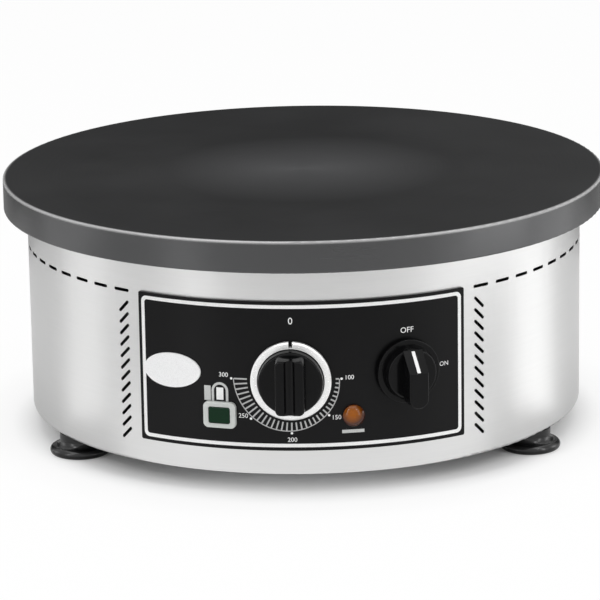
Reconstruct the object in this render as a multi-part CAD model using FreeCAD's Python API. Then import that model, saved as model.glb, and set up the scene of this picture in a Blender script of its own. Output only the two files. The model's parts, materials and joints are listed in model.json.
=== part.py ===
"""Round electric crepe maker: cast-iron griddle on a slotted stainless drum.

Millimetres. +Z is up, the front looks along -Y, and the origin is on the counter under the drum's axis.
Each sub-part has its own function, which returns one shape, and main() writes one STEP file per node.
"""

import FreeCAD, Part

import math
import os

Vector = FreeCAD.Vector
X_AXIS, Y_AXIS, Z_AXIS = Vector(1, 0, 0), Vector(0, 1, 0), Vector(0, 0, 1)
CENTRE = Vector(0, 0, 0)
FULL_TURN = 360.0

# Overall sizes
overall_height = 170.0
plate_radius = 200.0
drum_radius = 184.5
drum_wall = 1.0
foot_height = 14.5

# Clearances
running_gap = 0.05  # a shaft in its own bore, on the radius
screw_gap = 0.2  # a screw or stud in a plain hole, on the radius
seat_gap = 0.05  # faces that rest on each other through paint or glue
soft_gap = 0.3  # round a soft or loose piece
punch_reach = 40.0  # how far a punch goes past the drum's wall

# Griddle plate
plate_thickness = 12.0
plate_rim_depth = 20.5
plate_rim_width = 11.5
plate_top_round = 1.2
plate_foot_round = 1.0
plate_rib_radius = 172.0
plate_rib_width = 6.0
plate_rib_depth = 3.0

# Drum shell
drum_top_gap = 4.0  # from the top lip to the underside of the plate
drum_lip_width = 6.5
drum_flange_width = 28.5
drum_bend_radius = 2.0
seam_angle = 168.5
seam_width = 0.6
seam_strip_width = 24.0
seam_strip_thickness = 1.0
seam_strip_margin = 5.0
seam_rivet_radius = 1.6
seam_rivet_head_radius = 2.6
seam_rivet_head_height = 0.9
seam_rivet_offset = 7.0
seam_rivet_rows = 5

# Ventilation slots
vent_slot_width = 2.1
row_slot_length = 12.0
row_slot_height = 126.5
row_first_angle = 38.1
row_slot_count = 50
column_angle = 37.6
column_slot_length = 10.4
column_slot_count = 12
column_lowest = 32.2
column_highest = 115.8
column_slot_tilt = 45.0

# Control fascia
fascia_half_angle = 33.5
fascia_bottom = 30.8
fascia_top = 128.0
fascia_thickness = 1.5
fascia_corner = 1.2

# Places on the fascia, as an angle round the drum from the front and a height above the counter
thermostat_angle, thermostat_height = -2.0, 77.3
switch_angle, switch_height = 20.8, 79.5
heating_lamp_angle, heating_lamp_height = 10.0, 53.1
mains_lamp_angle, mains_lamp_height = -16.1, 53.2
badge_angle, badge_height = -26.1, 79.5

# Blank oval badge
badge_half_width = 20.0
badge_half_height = 11.2
badge_thickness = 1.0
badge_tilt = 2.0

# Shafts, and the two screws above and below each of them
shaft_radius = 3.0
shaft_flat_depth = 1.0
shaft_hole_radius = 4.5
control_screw_radius = 2.0
control_screw_spacing = 28.0
control_screw_head_radius = 3.4
control_screw_head_height = 1.8
control_screw_length = 8.0

# Thermostat
thermostat_width = 44.0
thermostat_tall = 38.0
thermostat_plate_thickness = 2.0
thermostat_depth = 30.0
thermostat_waist = 36.0
tab_width = 6.3
tab_thickness = 0.8
tab_length = 9.0
capillary_radius = 0.9
capillary_bend = 9.0
bulb_radius = 2.4
bulb_length = 64.0

# Rotary switch
switch_width = 38.0
switch_tall = 38.0
switch_plate_thickness = 2.0
switch_depth = 34.0
switch_core_radius = 17.0

# Thermostat knob
knob_base_gap = 1.0  # from the fascia to the knob
thermostat_knob_radius = 21.2
thermostat_knob_top_radius = 20.2
thermostat_knob_body_height = 10.5
thermostat_knob_shoulder = 1.6
thermostat_grip_height = 21.5
thermostat_grip_width = 19.6
thermostat_grip_half_length = 18.2
thermostat_grip_draft = 0.7  # how much narrower each side is at the top
thermostat_grip_corner = 3.4
thermostat_grip_edge = 1.3
thermostat_groove_radius = 3.6
thermostat_groove_depth = 2.4
thermostat_ring_radius = 25.4
thermostat_ring_height = 3.4
thermostat_ring_chamfer = 0.9
thermostat_ring_notch = 2.4
knob_wall = 2.2
knob_hub_radius = 6.5

# Switch knob
switch_flange_radius = 20.8
switch_flange_height = 3.2
switch_flange_edge = 0.8
switch_body_radius = 18.2
switch_body_top_radius = 16.0
switch_body_height = 10.5
switch_knob_shoulder = 1.2
switch_grip_width = 12.8
switch_grip_tail = 19.8  # from the axis to the rounded lower end
switch_grip_height = 22.0
switch_grip_slope_start = 3.0  # from the axis to where the grip begins to slope to the pointer end
switch_grip_slope_end = 15.6
switch_grip_edge = 1.0
switch_recess_radius = 18.2  # the recess that clears the heads of the two screws

# Mains lamp, rectangular
mains_bezel_width = 21.4
mains_bezel_tall = 17.0
mains_bezel_corner = 3.4
mains_bezel_proud = 2.4
mains_lens_width = 14.2
mains_lens_tall = 10.8
mains_lens_corner = 1.4
mains_lens_proud = 3.2
mains_body_width = 18.6
mains_body_tall = 13.0
mains_body_depth = 20.0

# Heating lamp, round
heating_lens_radius = 7.0
heating_lens_rim = 1.6
heating_lens_proud = 5.2
heating_barrel_radius = 5.0
heating_barrel_depth = 24.0
heating_nut_flats = 14.0
heating_nut_height = 4.0

# Heating element
element_radius = 4.25
element_groove_depth = 3.0
element_gap_angle = 135.0
element_half_gap = 14.0
element_loops = (150.0, 105.0, 60.0)
element_bend = 15.0
element_leg_tail = 9.0  # from the shield's underside to the end of the sheath
element_tab_length = 12.0
element_seal_radius = 5.0
element_seal_length = 8.0

# Clamp plate and its studs
clamp_outer_radius = 166.0
clamp_inner_radius = 44.0
clamp_thickness = 2.0
clamp_stud_radius = 3.0
clamp_stud_circle = 82.5
clamp_stud_angles = (15.0, 255.0, 315.0)
clamp_stud_sunk = 5.0
clamp_boss_radius = 8.0
clamp_nut_flats = 10.0
clamp_nut_height = 5.0
boss_gap = 1.0  # the bosses stop short, so that the clamp plate presses on the element

# Support posts
post_radius = 4.0
post_circle = 127.5
post_angles = {"left": -60.0, "right": 60.0, "rear": 180.0}
post_boss_radius = 11.0
post_sunk = 6.0
post_nut_flats = 13.0
post_nut_height = 6.5
post_tail = 3.0

# Heat shield and insulation
shield_radius = 170.0
shield_thickness = 1.0
shield_wall_gap = 4.5  # from the top of its wall to the clamp plate
insulation_radius = 167.0
insulation_thickness = 26.0

# Chassis disc
chassis_thickness = 2.0
chassis_edge_height = 9.0
chassis_vent_width = 5.0
chassis_vent_rings = {70.0: 10, 105.0: 14}
chassis_vent_length = 24.0
chassis_screw_circle = 165.0
chassis_screw_angles = (0.0, 120.0, 240.0)
chassis_screw_radius = 2.5
chassis_screw_head_radius = 4.6
chassis_screw_head_height = 2.6
chassis_nut_flats = 8.0
chassis_nut_height = 4.0

# Feet
foot_circle = 170.5
foot_stem_radius = 13.4
foot_base_radius = 20.0
foot_lip_height = 6.0
foot_bore_radius = 3.0
foot_counterbore_radius = 7.0
foot_counterbore_depth = 7.0
foot_bolt_head_radius = 5.2
foot_bolt_head_height = 3.6
foot_bolt_tail = 2.0
foot_nut_flats = 10.0
foot_nut_height = 5.0

# Cable gland at the back
gland_height = 46.0
gland_thread_radius = 10.0
gland_collar_flats = 24.0
gland_collar_height = 5.5
gland_inner_length = 11.0
gland_cap_flats = 22.0
gland_cap_length = 19.5
gland_cap_round_radius = 9.0
gland_bore_radius = 5.0
gland_seal_radius = 7.6
gland_seal_length = 14.0
gland_seal_sunk = 5.0  # how deep the seal sits in the body
gland_locknut_flats = 26.0
gland_locknut_height = 5.0

# Terminal block, on the chassis at the back
block_length = 62.0
block_width = 22.0
block_base_height = 8.0
block_tower_height = 20.0
block_poles = 5
block_angle = 150.0
block_circle = 118.0
block_screw_radius = 2.4
block_fixing_radius = 1.9
block_fixing_head_radius = 3.3
block_fixing_head_height = 2.0

# Earth stud on the chassis
earth_angle, earth_circle = 200.0, 140.0
earth_stud_radius = 2.5
earth_stud_length = 16.0
earth_nut_flats = 8.0
earth_nut_height = 4.0
earth_washer_radius = 5.0
earth_washer_thickness = 1.0

# Heights and radii that follow from the sizes above
plate_under = overall_height - plate_thickness
drum_top = plate_under - drum_top_gap
drum_bottom = foot_height
drum_inner_radius = drum_radius - drum_wall
flange_top = drum_bottom + drum_wall
chassis_top = flange_top + chassis_thickness
fascia_inner_radius = drum_radius + seat_gap
fascia_radius = fascia_inner_radius + fascia_thickness
element_centre_height = plate_under - element_radius + element_groove_depth
clamp_top = element_centre_height - element_radius - seat_gap
clamp_under = clamp_top - clamp_thickness
insulation_top = clamp_under - soft_gap
shield_floor = insulation_top - insulation_thickness
shield_under = shield_floor - shield_thickness
shield_wall_top = clamp_under - shield_wall_gap
element_leg_end = shield_under - element_leg_tail
wall_reach = drum_radius + punch_reach
row_pitch = (FULL_TURN - 2 * row_first_angle) / (row_slot_count - 1)
gland_cap_outer = drum_radius + gland_collar_height + gland_cap_length


def cylinder(radius, bottom, top):
    return Part.makeCylinder(radius, top - bottom, Vector(0, 0, bottom))


def tube(outer, inner, bottom, top):
    return cylinder(outer, bottom, top).cut(cylinder(inner, bottom - 1, top + 1))


def block(width, tall, bottom, top, x=0.0, y=0.0):
    """A box that is centred on x and y, from bottom to top."""
    return Part.makeBox(width, tall, top - bottom, Vector(x - width / 2, y - tall / 2, bottom))


def rounded_block(width, tall, corner, bottom, top):
    made = block(width, tall, bottom, top)
    upright = [e for e in made.Edges if abs(e.Vertexes[0].Z - e.Vertexes[1].Z) > (top - bottom) / 2]
    return made.makeFillet(corner, upright)


def hexagon(flats, bottom, top):
    """A hexagonal prism, of the given size across its flats."""
    corner = flats / 2 / math.cos(math.radians(30))
    around = [math.radians(60 * i) for i in range(7)]
    points = [Vector(corner * math.cos(a), corner * math.sin(a), bottom) for a in around]
    return Part.Face(Part.makePolygon(points)).extrude(Vector(0, 0, top - bottom))


def nut(flats, bore, bottom, top):
    """A hexagon nut with its corners turned down, and a plain bore."""
    turned = flats / 2 * 1.12
    rim = Part.makeCone(turned + (top - bottom), turned, top - bottom, Vector(0, 0, bottom))
    return hexagon(flats, bottom, top).common(rim).cut(cylinder(bore, bottom - 1, top + 1))


def pan_head(radius, height, bottom):
    """A low domed screw head that stands on bottom."""
    head = cylinder(radius, bottom, bottom + height)
    rim = [e for e in head.Edges if e.Vertexes[0].Z > bottom + height / 2 and e.Closed]
    return head.makeFillet(height * 0.45, rim)


def revolved(outline):
    """A solid of revolution about Z, from a closed outline of (radius, height) points."""
    points = [Vector(r, 0, z) for r, z in outline]
    return Part.Face(Part.makePolygon(points + points[:1])).revolve(CENTRE, Z_AXIS, FULL_TURN)


def placed(shape, angle, circle=0.0):
    """Moves a shape that was made on the axis to a point on a circle, angle degrees round from the front."""
    moved = shape.copy()
    moved.translate(Vector(0, -circle, 0))
    moved.rotate(CENTRE, Z_AXIS, angle)
    return moved


def on_wall(shape, angle, height):
    """Turns a shape made with X to the right, Y up and Z out from the drum's axis onto the drum's side."""
    moved = shape.copy()
    moved.rotate(CENTRE, X_AXIS, 90)
    moved.translate(Vector(0, 0, height))
    moved.rotate(CENTRE, Z_AXIS, angle)
    return moved


def stadium(length, width, bottom, top):
    """A slot's punch: a bar along X with round ends, from bottom to top."""
    straight = length - width
    bar = block(straight, width, bottom, top)
    ends = [cylinder(width / 2, bottom, top) for _ in range(2)]
    ends[0].translate(Vector(-straight / 2, 0, 0))
    ends[1].translate(Vector(straight / 2, 0, 0))
    return bar.multiFuse(ends).removeSplitter()


def joined(shapes):
    return shapes[0].multiFuse(shapes[1:]).removeSplitter() if len(shapes) > 1 else shapes[0]


def rod_run(start, end, radius):
    return Part.makeCylinder(radius, (end - start).Length, start, end - start)


def rod_bend(start, centre, axis, degrees, radius, heading):
    """A bend of round rod: the section at start is turned about an axis through centre."""
    section = Part.Face(Part.Wire(Part.makeCircle(radius, start, heading)))
    return section.revolve(centre, axis, degrees)


def bent_rod(points, bend, radius):
    """Round rod along straight runs, with a tangent arc of radius bend at each inner point."""
    pieces, start = [], points[0]
    for before, corner, after in zip(points, points[1:], points[2:]):
        into, out = (corner - before).normalize(), (after - corner).normalize()
        turn = into.getAngle(out)
        setback = bend * math.tan(turn / 2)
        arc_start = corner - into * setback
        axis = into.cross(out).normalize()
        centre = arc_start + axis.cross(into) * bend
        pieces.append(rod_run(start, arc_start, radius))
        pieces.append(rod_bend(arc_start, centre, axis, math.degrees(turn), radius, into))
        start = corner + out * setback
    pieces.append(rod_run(start, points[-1], radius))
    return joined(pieces)


# Griddle and heater


def element_place(loop, side):
    """The end of a loop beside the gap, and the direction from there into the gap, for side -1 or +1."""
    angle = math.radians(element_gap_angle + side * element_half_gap)
    point = Vector(loop * math.sin(angle), -loop * math.cos(angle), element_centre_height)
    heading = Vector(math.cos(angle), math.sin(angle), 0) * -side
    return point, heading


def element_loop(loop, radius):
    start, heading = element_place(loop, 1)
    turn = FULL_TURN - 2 * element_half_gap
    return rod_bend(start, Vector(0, 0, element_centre_height), Z_AXIS, turn, radius, heading)


def element_hairpin(outer, inner, side, radius):
    """The half-turn that joins two loops on one side of the gap."""
    start, heading = element_place(outer, side)
    end = element_place(inner, side)[0]
    axis = Z_AXIS * side
    return rod_bend(start, (start + end) * 0.5, axis, 180, radius, heading)


def element_leg(loop, side, radius):
    """The cold end of a loop, bent down through the clamp plate, the insulation and the shield."""
    start, heading = element_place(loop, side)
    centre = start - Z_AXIS * element_bend
    axis = heading.cross(Z_AXIS * -1)
    bend = rod_bend(start, centre, axis, 90, radius, heading)
    top = start + heading * element_bend - Z_AXIS * element_bend
    return bend, rod_run(top, Vector(top.x, top.y, element_leg_end), radius), top


def element_flat_run(radius):
    """The three loops and the two hairpins that lie against the plate."""
    outer, middle, inner = element_loops
    loops = [element_loop(loop, radius) for loop in element_loops]
    return loops + [element_hairpin(outer, middle, -1, radius), element_hairpin(middle, inner, 1, radius)]


def element_legs(radius):
    return [element_leg(element_loops[0], 1, radius), element_leg(element_loops[-1], -1, radius)]


def heating_element():
    pieces = element_flat_run(element_radius)
    for bend, leg, _ in element_legs(element_radius):
        pieces += [bend, leg]
    return joined(pieces)


def element_terminals():
    """The ceramic seal and the tab at the end of each leg."""
    made = []
    for _, _, top in element_legs(element_radius):
        seal = cylinder(element_seal_radius, element_leg_end - element_seal_length, element_leg_end)
        tip = element_leg_end - element_seal_length - element_tab_length
        tab = block(tab_width, tab_thickness, tip, element_leg_end - element_seal_length)
        piece = seal.fuse(tab)
        piece.translate(Vector(top.x, top.y, 0))
        made.append(piece)
    return Part.makeCompound(made)


def leg_holes(radius, bottom, top):
    """Round punches where the element's legs pass straight through a plate."""
    holes = []
    for _, _, place in element_legs(element_radius):
        hole = cylinder(radius, bottom, top)
        hole.translate(Vector(place.x, place.y, 0))
        holes.append(hole)
    return holes


def leg_slots(gap, bottom, top):
    """Slot punches that clear the bend at the top of each leg."""
    slots = []
    width = 2 * (element_radius + gap)
    for loop, side in ((element_loops[0], 1), (element_loops[-1], -1)):
        start, heading = element_place(loop, side)
        slot = stadium(element_bend + width, width, bottom, top)
        slot.rotate(CENTRE, Z_AXIS, math.degrees(math.atan2(heading.y, heading.x)))
        middle = start + heading * (element_bend / 2)
        slot.translate(Vector(middle.x, middle.y, 0))
        slots.append(slot)
    return slots


def post_punches(radius, bottom, top):
    return [placed(cylinder(radius, bottom, top), angle, post_circle) for angle in post_angles.values()]


def stud_punches(radius, bottom, top):
    return [placed(cylinder(radius, bottom, top), angle, clamp_stud_circle) for angle in clamp_stud_angles]


def griddle_plate():
    """The cast disc: a turned-down rim, a stiffening rib, bosses, and a groove that seats the element."""
    rim_inner = plate_radius - plate_rim_width
    rim_foot = overall_height - plate_rim_depth
    outline = [
        (0, overall_height),
        (plate_radius, overall_height),
        (plate_radius, rim_foot),
        (rim_inner, rim_foot),
        (rim_inner, plate_under),
        (0, plate_under),
    ]
    plate = revolved(outline)
    rim_edges = [e for e in plate.Edges if e.Closed and abs(e.Curve.Radius - plate_radius) < 0.01]
    top_edge = [e for e in rim_edges if e.Vertexes[0].Z > plate_under]
    plate = plate.makeFillet(plate_top_round, top_edge)
    foot_edge = [e for e in plate.Edges if e.Closed and abs(e.Vertexes[0].Z - rim_foot) < 0.01]
    plate = plate.makeFillet(plate_foot_round, foot_edge)
    rib_half = plate_rib_width / 2
    rib = tube(plate_rib_radius + rib_half, plate_rib_radius - rib_half,
               plate_under - plate_rib_depth, plate_under)
    bosses = post_punches(post_boss_radius, clamp_top + boss_gap, plate_under)
    bosses += stud_punches(clamp_boss_radius, clamp_top + boss_gap, plate_under)
    plate = plate.multiFuse([rib] + bosses)
    groove_radius = element_radius + seat_gap
    grooves = element_flat_run(groove_radius) + [bend for bend, _, _ in element_legs(groove_radius)]
    holes = post_punches(post_radius + running_gap, clamp_under, plate_under + post_sunk + running_gap)
    holes += stud_punches(clamp_stud_radius + running_gap, clamp_under,
                          plate_under + clamp_stud_sunk + running_gap)
    return plate.cut(grooves + holes).removeSplitter()


def element_clamp_plate():
    disc = tube(clamp_outer_radius, clamp_inner_radius, clamp_under, clamp_top)
    low, high = clamp_under - 1, clamp_top + 1
    holes = post_punches(post_boss_radius + soft_gap, low, high)
    holes += stud_punches(clamp_stud_radius + screw_gap, low, high)
    holes += leg_slots(2 * soft_gap, low, high)
    holes.append(capillary(capillary_radius + 2 * soft_gap))
    return disc.cut(holes)


def clamp_studs():
    top = plate_under + clamp_stud_sunk
    foot = clamp_under - clamp_nut_height - clamp_stud_radius / 2
    return Part.makeCompound(stud_punches(clamp_stud_radius, foot, top))


def clamp_nuts():
    made = nut(clamp_nut_flats, clamp_stud_radius + running_gap, clamp_under - clamp_nut_height, clamp_under)
    return Part.makeCompound([placed(made, a, clamp_stud_circle) for a in clamp_stud_angles])


def insulation_disc():
    disc = cylinder(insulation_radius, shield_floor, insulation_top)
    low, high = shield_floor - 1, insulation_top + 1
    holes = post_punches(post_radius + 2 * soft_gap, low, high)
    holes += leg_slots(2 * soft_gap, low, high)
    holes += stud_punches(clamp_nut_flats, low, high)
    holes.append(capillary(capillary_radius + 2 * soft_gap))
    return disc.cut(holes)


def heat_shield():
    """A shallow pan that holds the insulation up."""
    inner = shield_radius - shield_thickness
    pan = cylinder(shield_radius, shield_under, shield_wall_top).cut(
        cylinder(inner, shield_floor, shield_wall_top + 1))
    rim = edges_at(pan, shield_under)
    pan = pan.makeFillet(shield_thickness, rim)
    low, high = shield_under - 1, shield_floor + 1
    holes = post_punches(post_radius + screw_gap, low, high)
    holes += leg_holes(element_radius + 2 * soft_gap, low, high)
    holes.append(capillary(capillary_radius + 2 * soft_gap))
    return pan.cut(holes)


def support_post(side):
    foot = drum_bottom - post_nut_height - post_tail
    rod = cylinder(post_radius, foot + post_tail, plate_under + post_sunk)
    return placed(rod, post_angles[side], post_circle)


def post_nuts():
    """On each post: one nut above and one below the chassis, and one under the shield."""
    bore = post_radius + running_gap
    under_chassis = nut(post_nut_flats, bore, flange_top - post_nut_height, flange_top)
    above_chassis = nut(post_nut_flats, bore, chassis_top, chassis_top + post_nut_height)
    under_shield = nut(post_nut_flats, bore, shield_under - post_nut_height, shield_under)
    nuts = (under_chassis, above_chassis, under_shield)
    return Part.makeCompound([placed(n, a, post_circle) for n in nuts for a in post_angles.values()])


# Drum and chassis


def vent_punches():
    """The row of level slots round the drum, and a column of slanting slots on each side of the fascia."""
    inner, outer = drum_inner_radius - 4, drum_radius + 4
    level = stadium(row_slot_length, vent_slot_width, inner, outer)
    made = [on_wall(level, row_first_angle + i * row_pitch, row_slot_height) for i in range(row_slot_count)]
    step = (column_highest - column_lowest) / (column_slot_count - 1)
    for side in (-1, 1):
        slanting = stadium(column_slot_length, vent_slot_width, inner, outer)
        slanting.rotate(CENTRE, Z_AXIS, -side * column_slot_tilt)
        for i in range(column_slot_count):
            made.append(on_wall(slanting, side * column_angle, column_lowest + i * step))
    return made


def control_punches(inner, outer):
    """The holes for the shafts, their screws and the two lamps."""
    made = []
    for angle, height in ((thermostat_angle, thermostat_height), (switch_angle, switch_height)):
        made.append(on_wall(cylinder(shaft_hole_radius, inner, outer), angle, height))
        for side in (-1, 1):
            hole = cylinder(control_screw_radius + screw_gap, inner, outer)
            made.append(on_wall(hole, angle, height + side * control_screw_spacing / 2))
    barrel = cylinder(heating_barrel_radius + screw_gap, inner, outer)
    made.append(on_wall(barrel, heating_lamp_angle, heating_lamp_height))
    window = block(mains_body_width + 2 * screw_gap, mains_body_tall + 2 * screw_gap, inner, outer)
    made.append(on_wall(window, mains_lamp_angle, mains_lamp_height))
    return made


def seam_rivet_places():
    """The angle and the height of each rivet of the seam."""
    low = flange_top + 3 * seam_strip_margin
    high = row_slot_height - 3 * seam_strip_margin
    step = (high - low) / (seam_rivet_rows - 1)
    spread = math.degrees(seam_rivet_offset / drum_radius)
    return [(seam_angle + side * spread, low + i * step) for side in (-1, 1) for i in range(seam_rivet_rows)]


def flange_screw_punches(radius, bottom, top):
    return [placed(cylinder(radius, bottom, top), a, chassis_screw_circle) for a in chassis_screw_angles]


def foot_punches(radius, bottom, top):
    return [placed(cylinder(radius, bottom, top), a, foot_circle) for a in post_angles.values()]


def drum_shell():
    """One rolled sheet: the wall, a lip folded in at the top, and a flange folded in at the bottom."""
    inner_bend = drum_bend_radius - drum_wall
    solid = cylinder(drum_radius, drum_bottom, drum_top)
    rims = [e for e in solid.Edges if e.Closed]
    solid = solid.makeFillet(drum_bend_radius, rims)
    hollow = cylinder(drum_inner_radius, drum_bottom + drum_wall, drum_top - drum_wall)
    hollow = hollow.makeFillet(inner_bend, [e for e in hollow.Edges if e.Closed])
    shell = solid.cut(hollow)
    mouth = cylinder(drum_radius - drum_lip_width, drum_top - 2 * drum_wall, drum_top + 1)
    well = cylinder(drum_radius - drum_flange_width, drum_bottom - 1, drum_bottom + 2 * drum_wall)
    inner, outer = drum_inner_radius - 4, drum_radius + 4
    cuts = [mouth, well] + vent_punches() + control_punches(inner, outer)
    seam = block(seam_width, drum_top, inner - drum_flange_width, outer, y=drum_top / 2)
    cuts.append(on_wall(seam, seam_angle, 0))
    gland_hole = cylinder(gland_thread_radius + screw_gap, inner, outer)
    cuts.append(on_wall(gland_hole, 180, gland_height))
    rivet_hole = cylinder(seam_rivet_radius + running_gap, inner, outer)
    cuts += [on_wall(rivet_hole, angle, height) for angle, height in seam_rivet_places()]
    cuts += foot_punches(foot_bore_radius + screw_gap, drum_bottom - 1, flange_top + 1)
    cuts += flange_screw_punches(chassis_screw_radius + screw_gap, drum_bottom - 1, flange_top + 1)
    return shell.cut(cuts)


def arc_sheet(outer, inner, half_angle, bottom, top, angle=0.0):
    """A piece of a thin cylinder, half_angle degrees to each side of angle."""
    sheet = tube(outer, inner, bottom, top)
    reach = 2 * outer
    wedge = Part.makePolygon([
        CENTRE,
        Vector(-reach * math.sin(math.radians(half_angle)), -reach * math.cos(math.radians(half_angle)), 0),
        Vector(0, -2 * reach, 0),
        Vector(reach * math.sin(math.radians(half_angle)), -reach * math.cos(math.radians(half_angle)), 0),
        CENTRE,
    ])
    sector = Part.Face(wedge).extrude(Vector(0, 0, top + 1))
    return placed(sheet.common(sector), angle)


def seam_strip():
    """The strip behind the seam, which both ends of the sheet are riveted to."""
    outer = drum_inner_radius - soft_gap
    half = math.degrees(seam_strip_width / 2 / drum_radius)
    bottom = flange_top + chassis_thickness + chassis_edge_height + seam_strip_margin / 2
    top = row_slot_height - seam_strip_margin
    strip = arc_sheet(outer, outer - seam_strip_thickness, half, bottom, top, seam_angle)
    hole = cylinder(seam_rivet_radius + running_gap, outer - 10, outer + 10)
    return strip.cut([on_wall(hole, angle, height) for angle, height in seam_rivet_places()])


def seam_rivets():
    made = []
    head = seam_rivet_head_height
    strip_inner_radius = drum_inner_radius - soft_gap - seam_strip_thickness
    inside = math.sqrt(strip_inner_radius**2 - seam_rivet_head_radius**2) - seat_gap
    for angle, height in seam_rivet_places():
        shank = cylinder(seam_rivet_radius, inside - head, drum_radius + head / 2)
        outer_head = pan_head(seam_rivet_head_radius, head, drum_radius)
        inner_head = cylinder(seam_rivet_head_radius, inside - head, inside)
        made.append(on_wall(joined([shank, outer_head, inner_head]), angle, height))
    return Part.makeCompound(made)


def chassis_disc():
    """The structural floor: a disc with a turned-up edge, which stands on the drum's flange."""
    radius = drum_inner_radius - soft_gap
    top = chassis_top + chassis_edge_height
    disc = cylinder(radius, flange_top, top)
    foot_edge = [e for e in disc.Edges if e.Closed and e.Vertexes[0].Z < chassis_top]
    disc = disc.makeFillet(drum_bend_radius, foot_edge)
    disc = disc.cut(cylinder(radius - drum_wall, chassis_top, top + 1))
    low, high = flange_top - 1, chassis_top + 1
    cuts = post_punches(post_radius + screw_gap, low, high)
    cuts += foot_punches(foot_bore_radius + screw_gap, low, high)
    cuts += flange_screw_punches(chassis_screw_radius + screw_gap, low, high)
    vent = stadium(chassis_vent_length, chassis_vent_width, low, high)
    for circle, count in chassis_vent_rings.items():
        cuts += [placed(vent, i * FULL_TURN / count, circle) for i in range(count)]
    fixing = cylinder(block_fixing_radius + screw_gap, low, high)
    cuts += [block_fixing_placed(fixing, side) for side in (-1, 1)]
    earth = cylinder(earth_stud_radius + screw_gap, low, high)
    cuts.append(placed(earth, earth_angle, earth_circle))
    return disc.cut(cuts)


def chassis_screws():
    made = []
    for angle in chassis_screw_angles:
        head = pan_head(chassis_screw_head_radius, chassis_screw_head_height, 0)
        head.rotate(CENTRE, X_AXIS, 180)
        head.translate(Vector(0, 0, drum_bottom))
        tail = chassis_top + chassis_nut_height + chassis_screw_radius / 2
        shank = cylinder(chassis_screw_radius, drum_bottom - chassis_screw_head_height / 2, tail)
        made.append(placed(head.fuse(shank), angle, chassis_screw_circle))
    return Part.makeCompound(made)


def chassis_screw_nuts():
    top = chassis_top + chassis_nut_height
    made = nut(chassis_nut_flats, chassis_screw_radius + running_gap, chassis_top, top)
    return Part.makeCompound([placed(made, a, chassis_screw_circle) for a in chassis_screw_angles])


def foot(side):
    """A moulded rubber foot: a stem that flares to a rounded pad, with a counterbore for its bolt."""
    bulge = foot_lip_height / 2
    flare_start = foot_lip_height + 1.0
    stem_top = drum_bottom
    stem_low = Vector(foot_stem_radius, 0, (flare_start + stem_top) / 2)
    neck = Vector(foot_stem_radius + 0.8, 0, flare_start + 0.6)
    lip_top = Vector(foot_base_radius - bulge, 0, foot_lip_height)
    lip_side = Vector(foot_base_radius, 0, bulge)
    lip_foot = Vector(foot_base_radius - bulge, 0, 0)
    edges = [
        Part.makeLine(CENTRE, lip_foot),
        Part.Arc(lip_foot, Vector(foot_base_radius - bulge * 0.3, 0, bulge * 0.3), lip_side).toShape(),
        Part.Arc(lip_side, Vector(foot_base_radius - bulge * 0.3, 0, bulge * 1.7), lip_top).toShape(),
        Part.Arc(lip_top, neck, stem_low).toShape(),
        Part.makeLine(stem_low, Vector(foot_stem_radius, 0, stem_top)),
        Part.makeLine(Vector(foot_stem_radius, 0, stem_top), Vector(0, 0, stem_top)),
        Part.makeLine(Vector(0, 0, stem_top), CENTRE),
    ]
    body = Part.Face(Part.Wire(edges)).revolve(CENTRE, Z_AXIS, FULL_TURN)
    bore = cylinder(foot_bore_radius + screw_gap, -1, stem_top + 1)
    body = body.cut([bore, cylinder(foot_counterbore_radius, -1, foot_counterbore_depth)])
    return placed(body, post_angles[side], foot_circle)


def foot_bolts():
    made = []
    head_bottom = foot_counterbore_depth - foot_bolt_head_height
    for angle in post_angles.values():
        head = cylinder(foot_bolt_head_radius, head_bottom, foot_counterbore_depth)
        socket = hexagon(foot_bolt_head_radius, head_bottom - 1, head_bottom + foot_bolt_head_height / 2)
        tail = chassis_top + foot_nut_height + foot_bolt_tail
        shank = cylinder(foot_bore_radius, head_bottom + foot_bolt_head_height / 2, tail)
        made.append(placed(head.fuse(shank).cut(socket), angle, foot_circle))
    return Part.makeCompound(made)


def foot_nuts():
    made = nut(foot_nut_flats, foot_bore_radius + running_gap, chassis_top, chassis_top + foot_nut_height)
    return Part.makeCompound([placed(made, a, foot_circle) for a in post_angles.values()])


# Control fascia and what it carries


def control_fascia():
    """The black curved plate on the front of the drum."""
    sheet = arc_sheet(fascia_radius, fascia_inner_radius, fascia_half_angle, fascia_bottom, fascia_top)
    upright = [e for e in sheet.Edges if abs(e.Vertexes[0].Z - e.Vertexes[-1].Z) < 0.01 and e.Length < 2]
    sheet = sheet.makeFillet(fascia_corner, upright)
    return sheet.cut(control_punches(drum_inner_radius, fascia_radius + 4))


def badge_plate():
    """A blank oval plate, curved to lie on the fascia."""
    inner = fascia_radius + seat_gap
    oval = Part.Ellipse(CENTRE, badge_half_width, badge_half_height).toShape()
    prism = Part.Face(Part.Wire(oval)).extrude(Vector(0, 0, wall_reach))
    prism.rotate(CENTRE, Z_AXIS, badge_tilt)
    prism = on_wall(prism, badge_angle, badge_height)
    low, high = badge_height - 2 * badge_half_height, badge_height + 2 * badge_half_height
    return tube(inner + badge_thickness, inner, low, high).common(prism)


def control_seat(half_width):
    """Where a flat plate of that half width rests behind the curved wall."""
    return math.sqrt(drum_inner_radius**2 - half_width**2) - seat_gap


def nut_seat(flats):
    """Where a hexagon nut of that size rests behind the curved wall, on its corners."""
    return control_seat(flats / 2 / math.cos(math.radians(30)))


def tabs(offsets, back):
    """Push-on tabs that stand out of the back of a component."""
    return [block(tab_width, tab_thickness, back - tab_length, back, x, y) for x, y in offsets]


def fixing_holes(front, depth):
    holes = []
    for side in (-1, 1):
        hole = cylinder(control_screw_radius + running_gap, front - depth, front + 1)
        hole.translate(Vector(0, side * control_screw_spacing / 2, 0))
        holes.append(hole)
    return holes


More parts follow.
